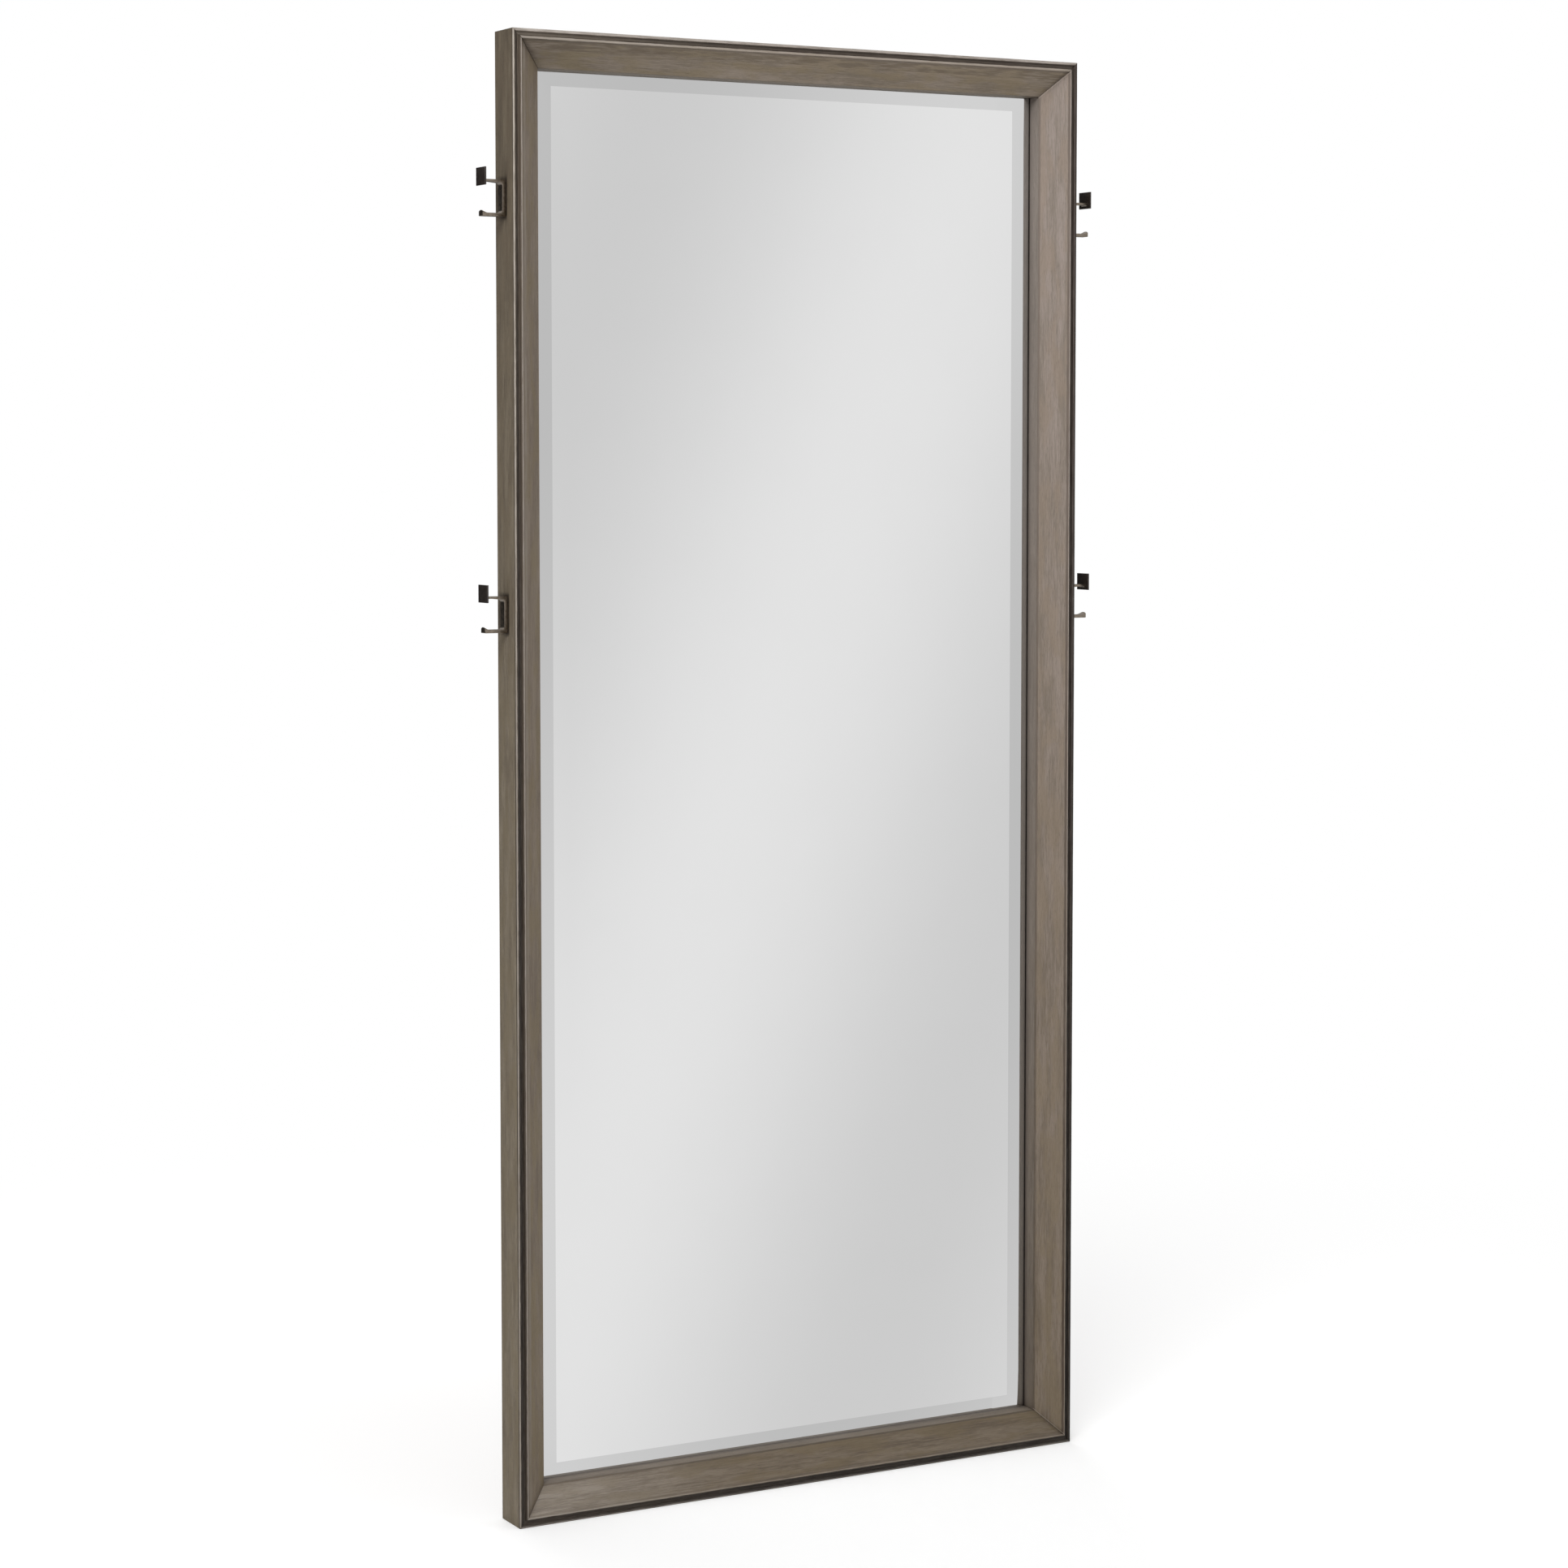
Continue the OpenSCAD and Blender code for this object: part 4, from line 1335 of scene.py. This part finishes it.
# %% [markdown]
# A casting touches the frame only with a slightly smaller foot, which keeps its edge clear of the
# wood. The foot could be a second block, but an inset of the bar's back keeps it one body. Then
# every sharp edge is rounded a little, because no cast edge is sharp.

# %% The foot, the rounded edges and the whole bracket
FOOT_INSET = 1
HOOK_EASE = 0.45


def ease_edges(bm, amount):
    """Rounds every edge that would stay crisp."""
    closed = [e for e in bm.edges if len(e.link_faces) == 2]
    round_off(bm, [e for e in closed if e.calc_face_angle(0) > SMOOTH_UP_TO], amount)


def add_foot(bm):
    """Pulls a smaller foot out of the bar's back."""
    back = [f for f in bm.faces if all(abs(v.co.x - FOOT_T * MM) < 1e-6 for v in f.verts)]
    bmesh.ops.inset_region(bm, faces=back, thickness=FOOT_INSET * MM, depth=0)
    made = bmesh.ops.extrude_face_region(bm, geom=back)["geom"]
    bmesh.ops.delete(bm, geom=back, context="FACES")
    foot = [g for g in made if isinstance(g, bmesh.types.BMVert)]
    bmesh.ops.translate(bm, verts=foot, vec=(-FOOT_T * MM, 0, 0))


def make_bracket(name):
    """The cast bracket in its own coordinates."""
    bm = bmesh.new()
    pull_side_view(bm)
    press_dome(bm)
    add_foot(bm)
    bmesh.ops.recalc_face_normals(bm, faces=bm.faces)
    ease_edges(bm, HOOK_EASE)
    return close_piece(bm, name)


print("foot stands out by", FOOT_T, "mm and is", FOOT_INSET, "mm smaller all round")

# %% [markdown]
# The cap is a rectangular plate on the end of the arm. Its outer face has a small bevel all round,
# and its inner lower edge, where a coat's loop slides over it, a larger one. One bevel on
# everything would be quicker, but then the plate would look like a pillow.

# %% The cap
CAP_W = 28
CAP_H = 23.5
CAP_T = 2.4
CAP_EDGE = 0.5
CAP_HEEL = 0.9
CAP_EASE = 0.25
CAP_DROP = 3.7
CAP_LOW = HOOK_H / 2 - ARM_T - CAP_DROP


def make_cap(name):
    """The rectangular cap on the upper arm, in the hook's own coordinates."""
    bm = start_box((CAP_T, CAP_W, CAP_H), (ARM_REACH + CAP_T / 2, 0, CAP_LOW + CAP_H / 2))
    outer = max(bm.faces, key=lambda f: f.calc_center_median().x)
    heel = [
        e for e in bm.edges
        if all(v.co.x < (ARM_REACH + 0.1) * MM and v.co.z < (CAP_LOW + 0.1) * MM for v in e.verts)
    ]
    round_off(bm, list(outer.edges), CAP_EDGE)
    round_off(bm, heel, CAP_HEEL, segments=3)
    ease_edges(bm, CAP_EASE)
    return close_piece(bm, name)


print("cap:", CAP_W, "x", CAP_H, "x", CAP_T, "mm")

# %% [markdown]
# ### Screw holes
# Two countersunk screws hold each bar. The holes could be painted on, but their rims catch the
# light. The cutters for each one are a cone and a cylinder, the same two shapes that a countersink
# and a drill cut.

# %% The shapes of the screw holes
SCREW_PITCH = 20
SHANK_R = 2.0
HEAD_R = 3.7
HOLE_DEPTH = 8
MOUTH = 0.3


def screw_cutters(z):
    """A countersink and a hole for one screw, both along X, with their mouths at the bar's face."""
    turn = Matrix.Rotation(math.radians(90), 4, "Y")
    head_h = HEAD_R - SHANK_R
    shapes = (
        (HEAD_R + MOUTH, head_h + MOUTH, BAR_T - (head_h - MOUTH) / 2),
        (SHANK_R, HOLE_DEPTH, BAR_T - HOLE_DEPTH / 2),
    )
    for mouth_r, depth, x in shapes:
        bm = bmesh.new()
        bmesh.ops.create_cone(
            bm, cap_ends=True, segments=ROUND_SIDES,
            radius1=SHANK_R * MM, radius2=mouth_r * MM, depth=depth * MM,
            matrix=Matrix.Translation((x * MM, 0, z * MM)) @ turn,
        )
        yield close_piece(bm, "cutter")


print("screws in each bar:", 2, "at", SCREW_PITCH, "mm")

# %% [markdown]
# ## Dark bronze
# The hooks are cast and blackened, and a warm grey shows where the patina is thin. Bare metal
# would be one even colour. Here a slow cloud mixes two tones, a quick one roughens the casting's
# skin, and the edge wear group brightens the edges. The caps are blacker, and their thick patina
# hides most of the metal, so they are less metallic.

# %% The bronze
PATINA = (260.0, 4.0, 0.6)
GRIT = (1500.0, 2.0, 0.6)
WORN_BRIGHT = 0.6
WORN_SMOOTH = 0.08


def bronze(name, dark, light, bright, metal):
    """Blackened bronze with grain from casting and rubbed edges. metal is the share left bare."""
    material, tree, shader = start_material(name)
    spot = object_place(tree)
    patina = cloud(tree, spot, *PATINA)
    grit = cloud(tree, spot, *GRIT)
    base = mix_colour(tree, remap(tree, patina, 0.35, 0.65), dark, light)
    worn = use_group(tree, EDGE_WEAR, "Mask", Radius=0.6 * MM, Patchiness=0.6)
    base = mix_colour(tree, times(tree, worn, WORN_BRIGHT), base, bright)
    rough = plus(tree, remap(tree, patina, 0.3, 0.7, 0.27, 0.36), times(tree, grit, 0.05))
    set_look(tree, shader, base, minus(tree, rough, times(tree, worn, WORN_SMOOTH)), metal)
    add_relief(tree, shader, grit, 0.25, 0.1 * MM)
    return material


BRONZE = bronze("dark_bronze", "7f7569", "91867a", "a89c90", 1.0)
CAP_BRONZE = bronze("darker_bronze", "302926", "39322e", "4a423c", 0.35)
print("bronze:", BRONZE.name, "and", CAP_BRONZE.name)

# %% [markdown]
# ### Eight pieces of the hooks
# The four hooks are the same casting, screwed on at two heights on both sides. A linked copy would
# save memory, but every piece has to keep its place in its own mesh. So each one is made anew, and
# turned half round on the left.

# %% Make and place the hooks
def hook_place(side, level):
    """Matrix from the hook's own coordinates to its place on the frame's side."""
    sign = -1 if side == "left" else 1
    turn = Matrix.Rotation(math.pi if sign < 0 else 0, 4, "Z")
    return Matrix.Translation((sign * FRAME_W / 2 * MM, 0, HOOK_ZS[level] * MM)) @ turn


for side in UPRIGHTS:
    for level in HOOK_ZS:
        bracket = make_bracket(f"hook_{side}_{level}")
        for end in (-1, 1):
            for cutter in screw_cutters(end * SCREW_PITCH / 2):
                cut(bracket, cutter)
        bracket.data.transform(hook_place(side, level))
        settle(bracket, "hook_bronze", [BRONZE], f"hook_bracket_{side}_{level}")
        cap = make_cap(f"cap_{side}_{level}")
        cap.data.transform(hook_place(side, level))
        settle(cap, "hook_bronze", [CAP_BRONZE], f"hook_cap_{side}_{level}")
print("hook faces", len(bracket.data.polygons), "cap faces", len(cap.data.polygons))

# %% [markdown]
# ## The back
# Nobody looks at the back of a mirror for long, but it is part of it: bare softwood battens, a
# hardboard panel with countersunk screws, and two keyhole plates. Their CAD shapes are right, so
# remaking them would gain nothing. They keep their shapes, and their patterns read object
# coordinates.
#
# The battens are sawn softwood: broad growth rings and a fine furry grain, along the batten.

# %% Softwood
def softwood(name, upright):
    """Bare softwood whose grain runs up, or across."""
    material, tree, shader = start_material(name)
    turned = add_node(tree, "ShaderNodeMapping")
    turned.inputs["Rotation"].default_value = (0, math.radians(90 if upright else 0), 0)
    feed(tree, turned.inputs["Vector"], object_place(tree))
    place = turned.outputs[0]
    rings = grain(tree, place, 0.4, 0.004)
    fibre = grain(tree, place, 0.05, 0.0006, 3.0)
    base = mix_colour(tree, remap(tree, rings, 0.35, 0.62), "a98c66", "cdb48c")
    base = mix_colour(tree, remap(tree, fibre, 0.3, 0.7, 0.0, 0.35), base, "8f7350")
    set_look(tree, shader, base, remap(tree, fibre, 0.3, 0.7, 0.62, 0.78))
    add_relief(tree, shader, fibre, 0.3, 0.3 * MM)
    return material


UPRIGHT_SOFTWOOD = softwood("softwood_upright", True)
LEVEL_SOFTWOOD = softwood("softwood_level", False)
print("softwood:", UPRIGHT_SOFTWOOD.name, "and", LEVEL_SOFTWOOD.name)

# %% [markdown]
# Hardboard is pressed from felted fibres. It has no grain direction, so plain noise is enough: a
# fine felt, a slow shift over the sheet, and a few darker flecks of bark.

# %% Hardboard
FELT = (420.0, 5.0, 0.7)
SHEET = (5.0, 3.0, 0.6)
BARK = (150.0, 2.0, 0.5)

HARDBOARD, tree, shader = start_material("hardboard")
spot = object_place(tree)
felt = cloud(tree, spot, *FELT)
slow_shift = remap(tree, cloud(tree, spot, *SHEET), 0.4, 0.7, 0.0, 0.4)
flecks = remap(tree, cloud(tree, spot, *BARK), 0.68, 0.74, 0.0, 0.5)
base = mix_colour(tree, remap(tree, felt, 0.35, 0.65), "5f4a38", "7d654d")
base = mix_colour(tree, slow_shift, base, "6a523e")
base = mix_colour(tree, flecks, base, "35281d")
set_look(tree, shader, base, remap(tree, felt, 0.3, 0.7, 0.55, 0.75))
add_relief(tree, shader, felt, 0.3, 0.2 * MM)
print("hardboard:", len(tree.nodes), "nodes")

# %% [markdown]
# The screws and the keyhole plates are zinc plated and passivated, which leaves a dull, cloudy
# grey. A pure metal would mirror the room and look black from some sides, so half of its look is
# the matt skin of the passivation.

# %% Plated steel
ZINC_BLOOM = (300.0, 3.0, 0.6)

STEEL, tree, shader = start_material("plated_steel")
bloom = cloud(tree, object_place(tree), *ZINC_BLOOM)
base = mix_colour(tree, remap(tree, bloom, 0.35, 0.65), "a3a4a4", "c2c3c1")
worn = use_group(tree, EDGE_WEAR, "Mask", Radius=0.3 * MM, Patchiness=0.4)
base = mix_colour(tree, times(tree, worn, WORN_BRIGHT), base, "e2e2df")
set_look(tree, shader, base, remap(tree, bloom, 0.3, 0.7, 0.36, 0.52), metal=0.5)
print("plated steel:", len(tree.nodes), "nodes")

# %% [markdown]
# Now the pieces of the back get these finishes. A CAD node already rides on its body, so only its
# material slot changes. The screws in the hooks are blackened like the hooks.

# %% Finish the pieces that keep their CAD shapes
KEPT_PIECES = {
    "batten_left": UPRIGHT_SOFTWOOD, "batten_right": UPRIGHT_SOFTWOOD,
    "batten_top": LEVEL_SOFTWOOD, "batten_bottom": LEVEL_SOFTWOOD, "mitre_splines": LEVEL_SOFTWOOD,
    "back_panel": HARDBOARD, "panel_screws": STEEL, "hook_screws": BRONZE,
    "hanger_plate_left": STEEL, "hanger_plate_right": STEEL, "hanger_screws": STEEL,
}
for name, finish in KEPT_PIECES.items():
    node = frame["nodes"][name]
    node.data.materials.clear()
    node.data.materials.append(finish)
print("pieces that keep their CAD shapes:", len(KEPT_PIECES))

# %% [markdown]
# ## The floor
# The mirror stands in a white studio. A floor of pure white light would swallow its shadow, and a
# grey floor would end in a horizon. So the floor is a pale matt surface that catches the shadow,
# lifted a little for the camera alone, and it turns to plain white further out.

# %% The floor
FLOOR_HALF = 30
FLOOR_TONE = (0.82, 0.82, 0.82, 1.0)
FLOOR_LIFT = 0.3
NEAR_FLOOR = 1.0
FAR_FLOOR = 2.6

bm = bmesh.new()
bmesh.ops.create_grid(bm, x_segments=1, y_segments=1, size=FLOOR_HALF)
floor = close_piece(bm, "floor")
pale, tree, shader = start_material("pale_floor")
set_look(tree, shader, FLOOR_TONE, 0.9)
shader.inputs["Specular IOR Level"].default_value = 0.0
seen = add_node(tree, "ShaderNodeLightPath").outputs["Is Camera Ray"]
lift = add_node(tree, "ShaderNodeEmission")
feed(tree, lift.inputs["Strength"], times(tree, seen, FLOOR_LIFT))
lifted = add_node(tree, "ShaderNodeAddShader")
feed(tree, lifted.inputs[0], shader.outputs[0])
feed(tree, lifted.inputs[1], lift.outputs[0])
white = add_node(tree, "ShaderNodeEmission")
far = remap(tree, vector_calc(tree, "LENGTH", object_place(tree), out=1), NEAR_FLOOR, FAR_FLOOR)
both = add_node(tree, "ShaderNodeMixShader")
feed(tree, both.inputs[0], times(tree, seen, far))
feed(tree, both.inputs[1], lifted.outputs[0])
feed(tree, both.inputs[2], white.outputs[0])
feed(tree, tree.nodes["Material Output"].inputs["Surface"], both.outputs[0])
floor.data.materials.append(pale)
floor.visible_glossy = False
print("floor turns white between", NEAR_FLOOR, "and", FAR_FLOOR, "m from the middle")

# %% [markdown]
# ## What the mirror sees
# A mirror shows its room. On the photograph it shows soft bands of light that slant across the
# glass. A room of walls and windows could be modelled. A world that draws the bands by direction
# is simpler and has no noise: the way a ray goes is measured against a slanting plane, and a
# cosine turns that into soft bands.

# %% The bands of light
BAND_NORMAL = (0.813, 0.474, -0.338)
BAND_HALF = 0.0885
BAND_LOW = 0.718
BAND_HIGH = 0.913

world = bpy.data.worlds.new("studio")
bpy.context.scene.world = world
world.use_nodes = True
tree = world.node_tree
sky = tree.nodes["Background"]
sky.inputs["Color"].default_value = (1, 1, 1, 1)
way = add_node(tree, "ShaderNodeTexCoord").outputs["Generated"]
offset = vector_calc(tree, "DOT_PRODUCT", way, BAND_NORMAL, out=1)
wave = calc(tree, "COSINE", times(tree, offset, math.pi / BAND_HALF))
band = remap(tree, wave, -1.0, 1.0, BAND_LOW, BAND_HIGH, smooth=False)
print("bands of light from", BAND_LOW, "to", BAND_HIGH)

# %% [markdown]
# Behind the mirror, at eye level, the studio is dark, and the polished sides of the hooks show it.
# A black card could stand there, as photographers do, but it would be seen from behind. Above and
# below eye level the studio stays bright.

# %% The dark part of the studio
BACK_WAY = (0.0, 1.0, 0.0)
BACK_EDGE = (0.1, 0.7)
EYE_LEVEL = (0.22, 0.5)
BACK_GLOW = 0.04

behind = remap(tree, vector_calc(tree, "DOT_PRODUCT", way, BACK_WAY, out=1), *BACK_EDGE)
tilt = calc(tree, "ABSOLUTE", split_place(tree, way)[2])
eye_level = remap(tree, tilt, *EYE_LEVEL, 1.0, 0.0)
shade = times(tree, behind, eye_level, 1 - BACK_GLOW)
room = times(tree, band, minus(tree, 1.0, shade))
print("light left behind the mirror:", BACK_GLOW)

# %% [markdown]
# The camera should see plain white round the mirror, a reflection should see the room, and matt
# wood should get even light. One background can't be all three. Light Path tells the rays apart,
# so each kind gets its own brightness.

# %% What each kind of ray sees
AMBIENT = 0.55

path = add_node(tree, "ShaderNodeLightPath")
glossy = path.outputs["Is Glossy Ray"]
matt = times(tree, minus(tree, 1.0, glossy), AMBIENT)
level = plus(tree, times(tree, room, glossy), matt)
direct = calc(tree, "MAXIMUM", path.outputs["Is Camera Ray"], path.outputs["Is Transmission Ray"])
indirect = times(tree, level, minus(tree, 1.0, direct))
feed(tree, sky.inputs["Strength"], plus(tree, indirect, direct))
print("even light on matt wood:", AMBIENT)

# %% [markdown]
# ## The lamps
# A large lamp in front on the left gives the slopes their shading, a weaker one on the right fills
# them, and one behind lights the back when someone walks round. Small lamps would draw hard
# shadows. The two fill lamps aren't seen in the mirror, where they would be white squares.

# %% The lamps
def softbox(name, place, aim_z, size, power, in_mirror):
    """A square lamp at place that faces the mirror at the height aim_z."""
    light = bpy.data.lights.new(name, "AREA")
    light.shape = "RECTANGLE"
    light.size, light.size_y = size
    light.energy = power
    lamp = bpy.data.objects.new(name, light)
    lamp.location = place
    way_to_aim = Vector((0, 0, aim_z)) - Vector(place)
    lamp.rotation_euler = way_to_aim.to_track_quat("-Z", "Y").to_euler()
    lamp.visible_glossy = in_mirror
    bpy.context.scene.collection.objects.link(lamp)


softbox("key", (-2.6, -2.8, 4.0), aim_z=1.2, size=(1.8, 1.8), power=95, in_mirror=True)
softbox("fill", (2.8, -3.2, 2.0), aim_z=1.0, size=(2.5, 2.5), power=28, in_mirror=False)
softbox("back_fill", (0.5, 3.2, 2.6), aim_z=1.0, size=(2.5, 2.0), power=40, in_mirror=False)
print("lamps:", len(bpy.data.lights))

# %% [markdown]
# ## The camera
# The photograph was taken from the left with a long lens, a little above the middle of the glass,
# and almost level. The camera could be placed by eye. These numbers come from fitting the frame's
# corners and edges to the picture. A small shift keeps the uprights near parallel, as in the
# picture.

# %% Camera
CAMERA_PLACE = (-2.4003, -4.2975, 1.4296)
YAW = math.radians(28.975)
PITCH = math.radians(-3.774)
LENS = 82.21
SENSOR_W = 36
SHIFT_UP = -0.06
VIEW_END = 100

eye = bpy.data.cameras.new("camera")
eye.lens = LENS
eye.sensor_width = SENSOR_W
eye.shift_y = SHIFT_UP
eye.clip_end = VIEW_END
camera = bpy.data.objects.new("camera", eye)
camera.location = CAMERA_PLACE
ahead = Vector((math.sin(YAW) * math.cos(PITCH), math.cos(YAW) * math.cos(PITCH), math.sin(PITCH)))
camera.rotation_euler = ahead.to_track_quat("-Z", "Y").to_euler()
bpy.context.scene.collection.objects.link(camera)
bpy.context.scene.camera = camera
bpy.context.scene.view_settings.view_transform = "Standard"
print("camera tilted by", round(math.degrees(PITCH), 1), "degrees, lens", LENS, "mm")

# %% [markdown]

# %% [markdown]
